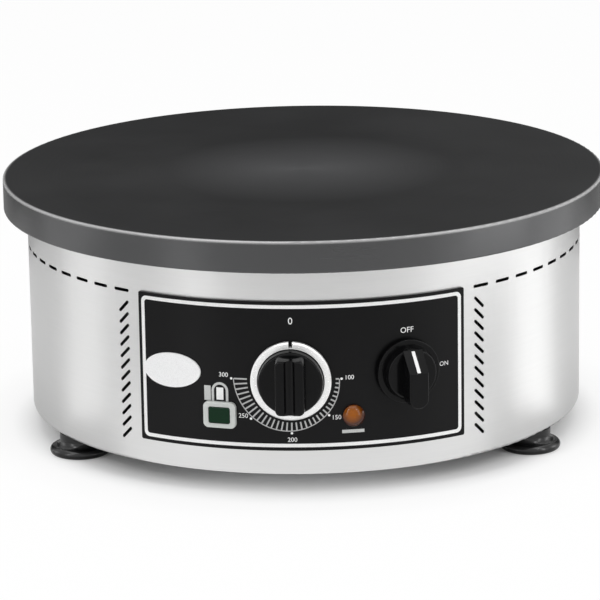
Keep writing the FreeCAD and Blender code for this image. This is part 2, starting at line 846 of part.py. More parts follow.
def thermostat_body():
    """The switch housing behind the front plate, with a waist, a shaft bush and push-on tabs."""
    front = control_seat(thermostat_width / 2)
    back = front - thermostat_depth
    plate = rounded_block(thermostat_width, thermostat_tall, 3, front - thermostat_plate_thickness, front)
    housing = rounded_block(thermostat_waist, thermostat_waist, 2, back, front - thermostat_plate_thickness)
    neck = cylinder(capillary_radius * 3, back - 3, back)
    body = joined([plate, housing, neck] + tabs(((-11, 9), (11, 9), (-11, -9)), back))
    bore = cylinder(shaft_radius + running_gap, front - thermostat_depth / 2, front + 1)
    body = body.cut([bore] + fixing_holes(front, control_screw_length))
    return on_wall(body, thermostat_angle, thermostat_height)


def switch_body():
    """The cam switch: a square front plate, a round core with four contact blocks, and tabs."""
    front = control_seat(switch_width / 2)
    back = front - switch_depth
    plate = rounded_block(switch_width, switch_tall, 3, front - switch_plate_thickness, front)
    core = cylinder(switch_core_radius, back, front - switch_plate_thickness)
    wafers = [
        rounded_block(switch_width - 3, switch_tall - 3, 2, back + offset, back + offset + 8)
        for offset in (4, 16)
    ]
    body = joined([plate, core] + wafers + tabs(((-8, 8), (8, 8), (-8, -8), (8, -8)), back))
    bore = cylinder(shaft_radius + running_gap, front - switch_depth / 2, front + 1)
    body = body.cut([bore] + fixing_holes(front, control_screw_length))
    return on_wall(body, switch_angle, switch_height)


def control_screws(angle, height):
    """Two screws that hold a component behind the wall; the knob hides their heads."""
    made = []
    for side in (-1, 1):
        head = pan_head(control_screw_head_radius, control_screw_head_height, fascia_radius)
        shank = cylinder(control_screw_radius, fascia_radius - control_screw_length, fascia_radius + 1)
        screw = head.fuse(shank)
        made.append(on_wall(screw, angle, height + side * control_screw_spacing / 2))
    return Part.makeCompound(made)


def control_shaft(angle, height, depth, half_width, knob_top):
    """A D-shaft from inside the component to just under the knob's top."""
    start = control_seat(half_width) - depth / 2 + soft_gap
    end = fascia_radius + knob_top
    shaft = cylinder(shaft_radius, start, end)
    flat = block(2 * shaft_radius, shaft_radius, fascia_radius + knob_base_gap, end + 1,
                 y=shaft_radius * 1.5 - shaft_flat_depth)
    return on_wall(shaft.cut(flat), angle, height)


def knob_bore(base, top):
    """The D-shaped bore, which the shaft's flat keys."""
    bore = cylinder(shaft_radius + running_gap, base - 1, top)
    flat = block(2 * knob_hub_radius, knob_hub_radius, base - 2, top + 1,
                 y=shaft_radius - shaft_flat_depth + running_gap + knob_hub_radius / 2)
    return bore.cut(flat)


def shaft_top(grip_height):
    """How far the shaft reaches past the fascia, inside the grip."""
    return grip_height * 0.55


def rounded_wire(width, tall, corner, height):
    """A rounded rectangle about the axis, at that height."""
    face = rounded_block(width, tall, corner, height, height + 1).Faces
    return min(face, key=lambda f: f.CenterOfMass.z).OuterWire


def edges_at(shape, height):
    """The edges that lie wholly at that height."""
    return [e for e in shape.Edges if all(abs(v.Z - height) < 0.01 for v in e.Vertexes)]


def thermostat_grip(bottom, top):
    """A drafted bar with rounded corners and edges, and a round groove along its top."""
    wide, tall = thermostat_grip_width, 2 * thermostat_grip_half_length
    taper = 2 * thermostat_grip_draft
    foot = rounded_wire(wide, tall, thermostat_grip_corner, bottom)
    crest = rounded_wire(wide - taper, tall - taper, thermostat_grip_corner, top)
    bar = Part.makeLoft([foot, crest], True, True)
    bar = bar.makeFillet(thermostat_grip_edge, edges_at(bar, top))
    centre = top + thermostat_groove_radius - thermostat_groove_depth
    groove = Part.makeCylinder(thermostat_groove_radius, 4 * tall, Vector(0, -2 * tall, centre), Y_AXIS)
    return bar.cut(groove)


def thermostat_knob():
    """A cup-shaped knob with a grooved bar grip across it, hollow underneath round its hub."""
    base = fascia_radius + knob_base_gap
    body_top = fascia_radius + thermostat_knob_body_height
    grip_top = fascia_radius + thermostat_grip_height
    cup = Part.makeCone(thermostat_knob_radius, thermostat_knob_top_radius, body_top - base)
    cup.translate(Vector(0, 0, base))
    cup = cup.makeFillet(thermostat_knob_shoulder, edges_at(cup, body_top))
    hollow = cylinder(thermostat_knob_top_radius - knob_wall, base - 1, body_top - knob_wall)
    hub = cylinder(knob_hub_radius, base, body_top - knob_wall)
    grip = thermostat_grip(body_top - knob_wall / 2, grip_top)
    knob = cup.cut(hollow).multiFuse([hub, grip])
    return knob.cut(knob_bore(base, fascia_radius + shaft_top(thermostat_grip_height) + running_gap))


def thermostat_knob_ring():
    """The bright ring round the knob's base, with the pointer notch at the top."""
    base = fascia_radius + knob_base_gap
    top = base + thermostat_ring_height
    inner = thermostat_knob_radius + running_gap
    chamfer = thermostat_ring_chamfer
    ring = revolved([
        (inner, base),
        (thermostat_ring_radius, base),
        (thermostat_ring_radius, top - chamfer),
        (thermostat_ring_radius - chamfer, top),
        (inner, top),
    ])
    notch = block(thermostat_ring_notch, thermostat_ring_radius, base - 1, top + 1,
                  y=thermostat_knob_radius + thermostat_ring_radius / 2 + 0.8)
    return ring.cut(notch)


def switch_grip(bottom, top, shoulder):
    """A bar with a rounded lower end, whose top slopes down to the shoulder at the pointer end."""
    half = switch_grip_width / 2
    side = [
        Vector(0, -switch_grip_tail, bottom),
        Vector(0, -switch_grip_tail, top),
        Vector(0, switch_grip_slope_start, top),
        Vector(0, switch_grip_slope_end, shoulder),
        Vector(0, switch_grip_slope_end, bottom),
        Vector(0, -switch_grip_tail, bottom),
    ]
    bar = Part.Face(Part.makePolygon(side)).extrude(Vector(switch_grip_width, 0, 0))
    bar.translate(Vector(-half, 0, 0))
    round_end = cylinder(half, bottom - 1, top + 1)
    round_end.translate(Vector(0, half - switch_grip_tail, 0))
    straight = switch_grip_tail + switch_grip_slope_end - half
    trim = round_end.fuse(block(switch_grip_width, straight, bottom - 1, top + 1,
                                y=switch_grip_slope_end - straight / 2))
    bar = bar.common(trim.removeSplitter())
    return bar.makeFillet(switch_grip_edge, edges_at(bar, top))


def switch_knob():
    """A flanged round knob with a bar grip."""
    base = fascia_radius + knob_base_gap
    flange_high = base + switch_flange_height
    body_top = fascia_radius + switch_body_height
    flange = cylinder(switch_flange_radius, base, flange_high)
    flange = flange.makeFillet(switch_flange_edge, edges_at(flange, flange_high))
    cup = Part.makeCone(switch_body_radius, switch_body_top_radius, body_top - base, Vector(0, 0, base))
    cup = cup.makeFillet(switch_knob_shoulder, edges_at(cup, body_top))
    hollow = cylinder(switch_body_top_radius - knob_wall, base - 1, body_top - knob_wall)
    hub = cylinder(knob_hub_radius, base, body_top - knob_wall)
    grip = switch_grip(body_top - knob_wall / 2, fascia_radius + switch_grip_height, body_top)
    recess = cylinder(switch_recess_radius, base - 1, fascia_radius + control_screw_head_height + soft_gap)
    knob = cup.fuse(flange).cut([hollow, recess]).multiFuse([hub, grip])
    return knob.cut(knob_bore(base, fascia_radius + shaft_top(switch_grip_height) + running_gap))


def mains_lamp_bezel():
    bottom = fascia_radius - fascia_sag(mains_bezel_width / 2) + seat_gap
    top = fascia_radius + mains_bezel_proud
    frame = rounded_block(mains_bezel_width, mains_bezel_tall, mains_bezel_corner, fascia_radius, top)
    rim = edges_at(frame, top)
    frame = frame.makeFillet(0.7, rim)
    skirt = rounded_block(mains_bezel_width, mains_bezel_tall, mains_bezel_corner, bottom, fascia_radius)
    window = rounded_block(mains_lens_width + 2 * seat_gap, mains_lens_tall + 2 * seat_gap,
                           mains_lens_corner, bottom - 1, top + 1)
    body = frame.fuse(skirt).cut(window)
    seat = cylinder(fascia_radius + seat_gap, -mains_bezel_tall, mains_bezel_tall)
    seat.rotate(CENTRE, X_AXIS, -90)
    return on_wall(body.cut(seat).removeSplitter(), mains_lamp_angle, mains_lamp_height)


def fascia_sag(half_width):
    """How far the curved fascia falls back at that distance to the side."""
    return fascia_radius - math.sqrt(fascia_radius**2 - half_width**2)


def mains_lamp_lens():
    base = fascia_radius
    top = fascia_radius + mains_lens_proud
    lens = rounded_block(mains_lens_width, mains_lens_tall, mains_lens_corner, base, top)
    rim = edges_at(lens, top)
    return on_wall(lens.makeFillet(0.9, rim), mains_lamp_angle, mains_lamp_height)


def mains_lamp_body():
    back = drum_radius - mains_body_depth
    front = fascia_radius - fascia_sag(mains_body_width / 2) - seat_gap
    body = block(mains_body_width, mains_body_tall, back, front)
    tail = tabs(((-5, 0), (5, 0)), back)
    return on_wall(joined([body] + tail), mains_lamp_angle, mains_lamp_height)


def heating_lamp_lens():
    """A round amber lens: a short rim and a dome."""
    base = fascia_radius + seat_gap
    rim_top = base + heating_lens_rim
    dome = heating_lens_proud - heating_lens_rim
    crown = (heating_lens_radius**2 + dome**2) / 2 / dome
    rim = cylinder(heating_lens_radius, base, rim_top)
    ball = Part.makeSphere(crown, Vector(0, 0, rim_top + dome - crown))
    cap = ball.common(cylinder(heating_lens_radius, rim_top, rim_top + 2 * dome))
    return on_wall(rim.fuse(cap).removeSplitter(), heating_lamp_angle, heating_lamp_height)


def heating_lamp_body():
    back = drum_radius - heating_barrel_depth
    barrel = cylinder(heating_barrel_radius, back, fascia_radius)
    body = joined([barrel] + tabs(((0, -2.5), (0, 2.5)), back))
    return on_wall(body, heating_lamp_angle, heating_lamp_height)


def heating_lamp_nut():
    top = nut_seat(heating_nut_flats)
    made = nut(heating_nut_flats, heating_barrel_radius + running_gap, top - heating_nut_height, top)
    return on_wall(made, heating_lamp_angle, heating_lamp_height)


# Thermostat probe


def capillary_points():
    """From the probe under the plate, down through the insulation, and forward to the thermostat's back."""
    neck_back = control_seat(thermostat_width / 2) - thermostat_depth - 3
    turn = math.radians(thermostat_angle)
    neck = Vector(neck_back * math.sin(turn), -neck_back * math.cos(turn), thermostat_height)
    heading = Vector(-math.sin(turn), math.cos(turn), 0)
    probe_height = plate_under - bulb_radius - seat_gap
    drop = Vector(bulb_length / 2 + 2 * capillary_bend, -post_circle, probe_height)
    return [
        Vector(bulb_length / 2, drop.y, probe_height),
        drop,
        Vector(drop.x, drop.y, thermostat_height),
        neck + heading * 2.5 * capillary_bend,
        neck,
    ]


def capillary(radius):
    points = capillary_points()
    return bent_rod(points, capillary_bend, radius)


def thermostat_capillary():
    return capillary(capillary_radius)


def thermostat_bulb():
    """The probe: a closed copper tube that lies against the plate between two loops of the element."""
    start = capillary_points()[0]
    body = Part.makeCylinder(bulb_radius, bulb_length, start - X_AXIS * bulb_length, X_AXIS)
    return body.makeFillet(bulb_radius * 0.6, [e for e in body.Edges if e.Closed])


# Mains entry


def gland_body():
    """The threaded body: a hexagon collar outside, and a thread through the wall."""
    collar_top = drum_radius + gland_collar_height
    collar = hexagon(gland_collar_flats, drum_radius, collar_top)
    thread = cylinder(gland_thread_radius, drum_inner_radius - gland_inner_length, collar_top)
    body = collar.fuse(thread)
    seat = cylinder(gland_seal_radius + running_gap, collar_top - gland_seal_sunk, collar_top + 1)
    bore = cylinder(gland_bore_radius + 1, 0, collar_top + 1)
    flat = cylinder(drum_radius + seat_gap, -gland_collar_flats, gland_collar_flats)
    flat.rotate(CENTRE, X_AXIS, -90)
    collar_seat = flat.cut(cylinder(gland_thread_radius, 0, wall_reach))
    return on_wall(body.cut([seat, bore, collar_seat]), 180, gland_height)


def gland_seal():
    collar_top = drum_radius + gland_collar_height
    start = collar_top - gland_seal_sunk + seat_gap
    seal = tube(gland_seal_radius, gland_bore_radius, start, start + gland_seal_length)
    return on_wall(seal, 180, gland_height)


def gland_cap():
    """The cap that squeezes the seal: a hexagon with a rounded nose."""
    bottom = drum_radius + gland_collar_height + seat_gap
    top = gland_cap_outer
    hexes = hexagon(gland_cap_flats, bottom, bottom + gland_cap_length / 2)
    nose = Part.makeCone(gland_cap_flats / 2, gland_cap_round_radius, top - bottom, Vector(0, 0, bottom))
    nose = nose.makeFillet(2, [e for e in nose.Edges if e.Closed and e.Vertexes[0].Z > top - 0.01])
    seal_top = bottom + gland_seal_length - gland_seal_sunk + seat_gap
    inner = cylinder(gland_seal_radius + running_gap, bottom - 1, seal_top)
    bore = cylinder(gland_bore_radius + 1, bottom - 1, top + 1)
    return on_wall(hexes.fuse(nose).cut([inner, bore]), 180, gland_height)


def gland_locknut():
    top = nut_seat(gland_locknut_flats)
    made = nut(gland_locknut_flats, gland_thread_radius + running_gap, top - gland_locknut_height, top)
    return on_wall(made, 180, gland_height)


def block_placed(shape):
    return placed(shape, block_angle, block_circle)


def block_fixing_placed(shape, side):
    moved = shape.copy()
    moved.translate(Vector(side * (block_length / 2 - 4), 0, 0))
    return block_placed(moved)


def block_pole_places():
    pitch = (block_length - 16) / block_poles
    return [(i - (block_poles - 1) / 2) * pitch for i in range(block_poles)]


def terminal_block():
    """A ceramic terminal block: a base with one tower for each pole, bored for wires and clamp screws."""
    base = rounded_block(block_length, block_width, 3, chassis_top, chassis_top + block_base_height)
    pole_width = (block_length - 16) / block_poles - 2
    tower_top = chassis_top + block_tower_height
    towers, holes = [], []
    for x in block_pole_places():
        towers.append(block(pole_width, block_width - 6, chassis_top, tower_top, x))
        well = cylinder(block_screw_radius + running_gap, tower_top - 5, tower_top + 1)
        well.translate(Vector(x, 0, 0))
        holes.append(well)
    for side in (-1, 1):
        hole = cylinder(block_fixing_radius + screw_gap, chassis_top - 1, tower_top)
        hole.translate(Vector(side * (block_length / 2 - 4), 0, 0))
        holes.append(hole)
    return block_placed(joined([base] + towers).cut(holes))


def terminal_screws():
    """The slotted clamp screw of each pole."""
    top = chassis_top + block_tower_height - 1
    made = []
    for x in block_pole_places():
        screw = cylinder(block_screw_radius, top - 4 + seat_gap, top)
        screw = screw.cut(block(2 * block_screw_radius + 1, 0.8, top - 1.2, top + 1))
        screw.translate(Vector(x, 0, 0))
        made.append(block_placed(screw))
    return Part.makeCompound(made)


def block_fixing_screws():
    base_top = chassis_top + block_base_height
    made = []
    for side in (-1, 1):
        head = pan_head(block_fixing_head_radius, block_fixing_head_height, base_top)
        screw = head.fuse(cylinder(block_fixing_radius, flange_top - 2, base_top + 1))
        made.append(block_fixing_placed(screw, side))
    return Part.makeCompound(made)


def earth_stud():
    """The protective-earth stud with its head under the chassis."""
    head = hexagon(earth_nut_flats, flange_top - 3, flange_top)
    stud = cylinder(earth_stud_radius, flange_top - 1, flange_top + earth_stud_length)
    return placed(head.fuse(stud), earth_angle, earth_circle)


def earth_nut():
    bore = earth_stud_radius + running_gap
    washer = tube(earth_washer_radius, bore, chassis_top, chassis_top + earth_washer_thickness)
    low = chassis_top + earth_washer_thickness
    made = nut(earth_nut_flats, bore, low, low + earth_nut_height)
    return placed(washer.fuse(made), earth_angle, earth_circle)


def nodes():
    """Every node's name and shape."""
    thermostat = (thermostat_angle, thermostat_height)
    switch = (switch_angle, switch_height)
    made = {
        "griddle_plate": griddle_plate(),
        "heating_element": heating_element(),
        "element_terminals": element_terminals(),
        "element_clamp_plate": element_clamp_plate(),
        "clamp_studs": clamp_studs(),
        "clamp_nuts": clamp_nuts(),
        "insulation_disc": insulation_disc(),
        "heat_shield": heat_shield(),
        "post_nuts": post_nuts(),
        "drum_shell": drum_shell(),
        "seam_strip": seam_strip(),
        "seam_rivets": seam_rivets(),
        "chassis_disc": chassis_disc(),
        "chassis_screws": chassis_screws(),
        "chassis_screw_nuts": chassis_screw_nuts(),
        "foot_bolts": foot_bolts(),
        "foot_nuts": foot_nuts(),
        "control_fascia": control_fascia(),
        "badge_plate": badge_plate(),
        "thermostat_body": thermostat_body(),
        "thermostat_screws": control_screws(*thermostat),
        "thermostat_shaft": control_shaft(*thermostat, thermostat_depth, thermostat_width / 2,
                                          shaft_top(thermostat_grip_height)),
        "thermostat_knob": on_wall(thermostat_knob(), *thermostat),
        "thermostat_knob_ring": on_wall(thermostat_knob_ring(), *thermostat),
        "thermostat_capillary": thermostat_capillary(),
        "thermostat_bulb": thermostat_bulb(),
        "switch_body": switch_body(),
        "switch_screws": control_screws(*switch),
        "switch_shaft": control_shaft(*switch, switch_depth, switch_width / 2, shaft_top(switch_grip_height)),
        "switch_knob": on_wall(switch_knob(), *switch),
        "mains_lamp_bezel": mains_lamp_bezel(),
        "mains_lamp_lens": mains_lamp_lens(),
        "mains_lamp_body": mains_lamp_body(),
        "heating_lamp_lens": heating_lamp_lens(),
        "heating_lamp_body": heating_lamp_body(),
        "heating_lamp_nut": heating_lamp_nut(),
        "gland_body": gland_body(),
        "gland_seal": gland_seal(),
        "gland_cap": gland_cap(),
        "gland_locknut": gland_locknut(),
        "terminal_block": terminal_block(),
        "terminal_screws": terminal_screws(),
        "block_fixing_screws": block_fixing_screws(),
        "earth_stud": earth_stud(),
        "earth_nut": earth_nut(),
    }
    for side in post_angles:
        made[f"support_post_{side}"] = support_post(side)
        made[f"foot_{side}"] = foot(side)
    return made


def main():
    os.makedirs("parts", exist_ok=True)
    for name, shape in nodes().items():
        shape.exportStep(f"parts/{name}.step")
        print(f"{name}: {len(shape.Solids)} solids, {shape.Volume:.0f} mm3, valid {shape.isValid()}")


main()
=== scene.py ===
"""Finishes, printed marks and small fittings of a round electric crepe maker, with a plain studio round it.

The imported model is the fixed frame: its pieces keep their shapes and places, and get their finishes here.
Metres, +Z up, the front looks along -Y.
"""

import json
import math
from functools import partial

import bmesh
import bpy
from mathutils import Matrix, Vector


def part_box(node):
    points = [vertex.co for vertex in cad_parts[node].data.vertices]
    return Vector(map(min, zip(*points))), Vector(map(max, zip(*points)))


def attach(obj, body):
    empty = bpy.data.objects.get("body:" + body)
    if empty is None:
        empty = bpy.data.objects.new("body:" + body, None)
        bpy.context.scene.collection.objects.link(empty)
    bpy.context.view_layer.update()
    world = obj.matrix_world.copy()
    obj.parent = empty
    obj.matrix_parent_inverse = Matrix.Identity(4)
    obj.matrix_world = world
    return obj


bl_info = {
    "name": "Crepe maker finishes",
    "version": (1, 0, 0),
    "blender": (4, 5, 0),
    "location": "View3D > Sidebar > Crepe maker",
    "description": "Finishes, printed marks, fasteners and studio for a round electric crepe maker",
    "category": "Object",
}

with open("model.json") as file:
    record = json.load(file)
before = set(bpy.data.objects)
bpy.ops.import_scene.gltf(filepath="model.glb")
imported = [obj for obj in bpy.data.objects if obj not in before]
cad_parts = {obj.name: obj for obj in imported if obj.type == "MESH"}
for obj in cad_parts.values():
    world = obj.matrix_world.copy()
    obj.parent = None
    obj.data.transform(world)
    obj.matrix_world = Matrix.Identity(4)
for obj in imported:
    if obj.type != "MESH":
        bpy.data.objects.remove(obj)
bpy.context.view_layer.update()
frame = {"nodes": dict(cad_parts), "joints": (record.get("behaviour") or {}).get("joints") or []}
nodes = frame["nodes"]

MM = 0.001
HOUSING = "housing"
SWITCH_BODY = "switch_control"
joints = {joint["name"]: joint for joint in frame["joints"]}

# Sizes that come from the frame
FASCIA_RADIUS = -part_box("control_fascia")[0].y
DRUM_RADIUS = -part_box("drum_shell")[0].y
FASCIA_BOTTOM, FASCIA_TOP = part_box("control_fascia")[0].z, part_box("control_fascia")[1].z
FASCIA_HALF_ANGLE = math.asin(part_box("control_fascia")[1].x / FASCIA_RADIUS)
PLATE_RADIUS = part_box("griddle_plate")[1].x
PLATE_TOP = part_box("griddle_plate")[1].z


def control_place(joint_name):
    """The angle round the drum and the height of a control's axis."""
    x, y, z = joints[joint_name]["pos_m"]
    return math.atan2(x, -y), z


THERMOSTAT = THERMOSTAT_ANGLE, THERMOSTAT_HEIGHT = control_place("thermostat_turn")
SWITCH = control_place("switch_turn")


def middle(node):
    """The angle round the drum and the height of a node's middle."""
    low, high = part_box(node)
    centre = (low + high) / 2
    return math.atan2(centre.x, -centre.y), centre.z


HEATING_ANGLE, HEATING_HEIGHT = middle("heating_lamp_lens")
MAINS_ANGLE, MAINS_HEIGHT = middle("mains_lamp_bezel")

# How the prints are made
MERGE_DISTANCE = 1e-7
CAPITAL_SHARE = 0.7  # of a font's size that its capitals and figures take up
SCALE_NUMBERS = (  # words, then the place along and up from the thermostat's axis, in millimetres
    ("100", 36.6, 0.5), ("150", 28.2, -25.2), ("200", 0.3, -39.3), ("250", -30.7, -24.2), ("300", -43.2, 2.0),
)

# The switch knob's grip, from its axis and from the fascia's face
GRIP_HEIGHT = 22.0 * MM
GRIP_SLOPE_START = 3.0 * MM
GRIP_SLOPE = 11.5 / 12.6

# Colours that a user wouldn't change
# The griddle's edge colour: bare turned metal, painted brighter as a highlight
TURNED_SIDE, BARE_EDGE_HIGHLIGHT = (0.088, 0.0885, 0.09), 0.5
GREY_INK, SCALE_INK = (0.56, 0.57, 0.56), (0.5, 0.5, 0.5)

# The studio
WORLD_FILL = 0.34
PLACED_CARDS = (  # name, strength, four corners
    ("dark_back", 0.03, (-3.2, 2.6, 0.02), (3.2, 2.6, 0.02), (3.2, 2.6, 2.2), (-3.2, 2.6, 2.2)),
    ("right_back", 0.25, (0.2, 2.5, 0.1), (1.1, 2.5, 0.1), (1.1, 2.5, 1.2), (0.2, 2.5, 1.2)),
    ("dark_floor", 0.35, (-0.9, 0.4, 0.001), (0.9, 0.4, 0.001), (2.6, 2.6, 0.001), (-2.6, 2.6, 0.001)),
    ("near_floor", 1.15,
     (-0.3, -0.42, 0.0015), (0.3, -0.42, 0.0015), (0.3, -0.15, 0.0015), (-0.3, -0.15, 0.0015)),
)
LOW_CARDS = (  # name, heading and half spread in degrees, strength, nearest and farthest reach
    ("right_card", 109, 13, 1.75, 0.1, 0.85),
    ("left_card", -101, 12, 1.35, 0.1, 0.85),
    ("front_right_card", 60, 7, 1.35, 0.1, 0.85),
    ("front_left_card", -44, 7, 1.4, 0.1, 0.85),
    ("left_rim_card", -86, 8, 2.0, 0.7, 1.05),
    ("right_rim_card", 78, 15, 3.4, 0.6, 0.8),
    ("left_dark_card", -132, 20, 0.2, 0.68, 1.7),
)
LIGHTS = (  # name, place, target, size, power
    ("top_light", (0.0, -0.1, 1.7), (0, 0, 0), (1.8, 1.8), 19.0),
    ("left_strip", (-1.5, -1.5, 0.7), (0, 0, 0.1), (0.22, 1.6), 7.5),
    ("right_strip", (1.5, -1.15, 0.7), (0, 0, 0.1), (0.22, 1.6), 7.5),
    ("left_side", (-2.0, 0.3, 0.55), (0, 0, 0.1), (0.5, 1.1), 3.0),
    ("right_side", (2.0, 0.3, 0.55), (0, 0, 0.1), (0.6, 1.1), 6.0),
    ("left_glint", (-0.75, -0.95, 1.15), (0, 0, 0.1), (0.1, 0.1), 2.0),
    ("right_glint", (0.75, -0.95, 1.15), (0, 0, 0.1), (0.1, 0.1), 2.0),
)

# The camera that was fitted to the photograph, from the middle of the plate's top
CAMERA_DISTANCE = 2.4914
CAMERA_ELEVATION, CAMERA_ROLL, CAMERA_AZIMUTH = math.radians(13.080), math.radians(-0.9196), math.radians(0.9)
CAMERA_TARGET = Vector((-0.00327, 0, -0.0911))
FOCAL_PIXELS, PICTURE_PIXELS = 3728.3, 600.0
SENSOR_WIDTH = 36.0


# Shader maths


class Term:
    """One output of a shader node. Arithmetic on it adds Math nodes."""

    def __init__(self, finish, socket):
        self.finish, self.socket = finish, socket

    def output(self, name):
        return Term(self.finish, self.socket.node.outputs[name])

    def maths(self, operation, *values):
        return self.finish.node("ShaderNodeMath", {"operation": operation}, values)

    def __add__(self, other):
        return self.maths("ADD", self, other)

    def __sub__(self, other):
        return self.maths("SUBTRACT", self, other)

    def __mul__(self, other):
        return self.maths("MULTIPLY", self, other)

    def __truediv__(self, other):
        return self.maths("DIVIDE", self, other)

    def __pow__(self, other):
        return self.maths("POWER", self, other)

    __radd__ = __add__


class Finish:
    """One node-based material, built from expressions."""

    def __init__(self, name, shader="ShaderNodeBsdfPrincipled"):
        self.material = bpy.data.materials.new(name)
        self.material.use_nodes = True
        self.tree = self.material.node_tree
        self.tree.nodes.clear()
        self.surface = self.tree.nodes.new(shader)
        self.out = self.tree.nodes.new("ShaderNodeOutputMaterial")
        self.tree.links.new(self.surface.outputs[0], self.out.inputs["Surface"])

    def put(self, socket, value):
        if isinstance(value, Term):
            self.tree.links.new(value.socket, socket)
        else:
            socket.default_value = value

    def node(self, kind, settings=None, inputs=(), output=0):
        """A node with its settings made first, then its inputs, each a value or a Term."""
        made = self.tree.nodes.new(kind)
        for key, value in (settings or {}).items():
            if key == "stops":
                self.ramp(made.color_ramp, value)
            else:
                setattr(made, key, value)
        pairs = inputs.items() if isinstance(inputs, dict) else enumerate(inputs)
        for key, value in pairs:
            self.put(made.inputs[key], value)
        return Term(self, made.outputs[output])

    def ramp(self, ramp, stops):
        while len(ramp.elements) < len(stops):
            ramp.elements.new(1.0)
        for element, (position, grey) in zip(ramp.elements, stops):
            element.position = position
            element.color = (grey, grey, grey, 1.0)

    def set(self, **values):
        """Sets the shader's sockets, named with underscores for spaces."""
        for name, value in values.items():
            self.put(self.surface.inputs[name.replace("_", " ")], value)
        return self

    def place(self):
        return self.node("ShaderNodeTexCoord", output="Object")

    def noise(self, scale, detail=2.0, vector=None, roughness=0.5):
        inputs = {"Vector": vector or self.place(), "Scale": scale, "Detail": detail, "Roughness": roughness}
        return self.node("ShaderNodeTexNoise", inputs=inputs)

    def stops(self, value, *pairs):
        """A grey ramp through (position, value) pairs, read as a number."""
        return self.node("ShaderNodeValToRGB", {"stops": pairs}, [value])

    def blend(self, factor, first, second):
        """A colour between two colours."""
        inputs = {"Factor": factor, 6: first, 7: second}
        return self.node("ShaderNodeMix", {"data_type": "RGBA"}, inputs, output=2)

    def bump(self, height, strength, distance):
        inputs = {"Strength": strength, "Distance": distance, "Height": height}
        return self.node("ShaderNodeBump", None, inputs)

    def round_the_axis(self):
        """The angle round +Z from the front, the distance from the axis, and the height."""
        spot = self.node("ShaderNodeSeparateXYZ", None, [self.place()])
        x, y, z = spot.output("X"), spot.output("Y"), spot.output("Z")
        angle = x.maths("ARCTAN2", x, y * -1.0)
        return angle, (x * x + y * y) ** 0.5, z

    def vector(self, x, y, z):
        return self.node("ShaderNodeCombineXYZ", None, [x, y, z])


def rgb(grey_or_colour, factor=1.0):
    """A four-part colour from a grey or from three parts."""
    parts = (grey_or_colour,) * 3 if isinstance(grey_or_colour, float) else tuple(grey_or_colour)[:3]
    return tuple(part * factor for part in parts) + (1.0,)


# Finishes


def seasoned_iron(colour):
    """The griddle: seasoned on top, with a painted sheen towards the middle; turned bright on its side, with
    a painted highlight on its edge.
    """
    finish = Finish("seasoned_iron")
    angle, radius, height = finish.round_the_axis()
    share, level = radius / PLATE_RADIUS, height / PLATE_TOP
    cloud = finish.noise(9.0, 4.0)
    grain = finish.noise(900.0, 3.0)
    rings = finish.noise(1.0, 3.0, finish.vector(radius * 1400.0, angle * 1.5, height * 300.0))
    side = finish.stops(level, (0.988, 1.0), (0.996, 0.0))
    # Painted highlight: a thin band along the rim's top edge, bare metal brightened
    edge = finish.stops(share, (0.991, 0.0), (0.998, 1.0)) * finish.stops(level, (0.988, 0.0), (0.997, 1.0))
    # Painted sheen: a mask that lightens the top towards the middle, standing in for a soft reflection of
    # light
    painted_glow = finish.stops(share + cloud * 0.25, (0.1, 1.0), (0.6, 0.0))
    patina = finish.blend(finish.stops(cloud, (0.35, 0.0), (0.68, 1.0)), rgb(colour, 0.82), rgb(colour, 1.2))
    # The painted sheen's lighter colour in the middle of the top
    top = finish.blend(painted_glow, patina, rgb(colour, 3.4))
    base = finish.blend(edge, finish.blend(side, top, rgb(TURNED_SIDE)), rgb(BARE_EDGE_HIGHLIGHT))
    roughness = 0.42 + cloud * 0.1 + rings * 0.06 - side * 0.25 - edge * 0.1
    relief = finish.bump(rings * 0.6 + grain * 0.4, 0.16, 0.00012)
    finish.set(Base_Color=base, Roughness=roughness, Metallic=side * 0.73 + 0.25, Normal=relief,
               Specular_IOR_Level=0.15, Anisotropic=0.3)
    return finish.material


def brushed_stainless(colour):
    """Rolled sheet, brushed round the drum, so that its fine lines are level."""
    finish = Finish("brushed_stainless")
    angle, radius, height = finish.round_the_axis()
    fine = finish.noise(1.0, 4.0, finish.vector(angle * 9.0, radius * 2000.0, height * 3800.0))
    broad = finish.noise(1.0, 2.0, finish.vector(angle * 2.4, radius * 200.0, height * 420.0))
    smudge = finish.noise(7.0, 3.0)
    lines = fine * 0.65 + broad * 0.35
    base = finish.blend(lines, rgb(colour, 0.9), rgb(colour, 1.04))
    roughness = 0.23 + lines * 0.11 + smudge * 0.05
    finish.set(Base_Color=base, Metallic=1.0, Roughness=roughness, Anisotropic=0.35,
               Normal=finish.bump(lines, 0.12, 0.00008))
    return finish.material


def flat_steel(name, colour, roughness):
    """Plated or galvanised steel with a soft crystal pattern."""
    finish = Finish(name)
    grain = finish.noise(420.0, 4.0)
    inputs = {"Vector": finish.place(), "Scale": 85.0, "Randomness": 1.0}
    spangle = finish.node("ShaderNodeTexVoronoi", {"feature": "F1"}, inputs, output="Color")
    tone = finish.node("ShaderNodeRGBToBW", None, [spangle])
    base = finish.blend(tone * 0.6 + grain * 0.4, rgb(colour, 0.85), rgb(colour, 1.1))
    finish.set(Base_Color=base, Metallic=1.0, Roughness=(roughness - 0.06) + tone * 0.08 + grain * 0.08,
               Normal=finish.bump(grain, 0.1, 0.0001))
    return finish.material


def turned_metal(name, colour, roughness, metallic=1.0):
    """A lathe-turned bright metal."""
    finish = Finish(name)
    grain = finish.noise(1500.0, 2.0)
    soft = finish.noise(60.0, 2.0)
    base = finish.blend(soft, rgb(colour, 0.94), rgb(colour, 1.05))
    finish.set(Base_Color=base, Metallic=metallic, Roughness=roughness + grain * 0.08,
               Normal=finish.bump(grain, 0.06, 0.00005))
    return finish.material


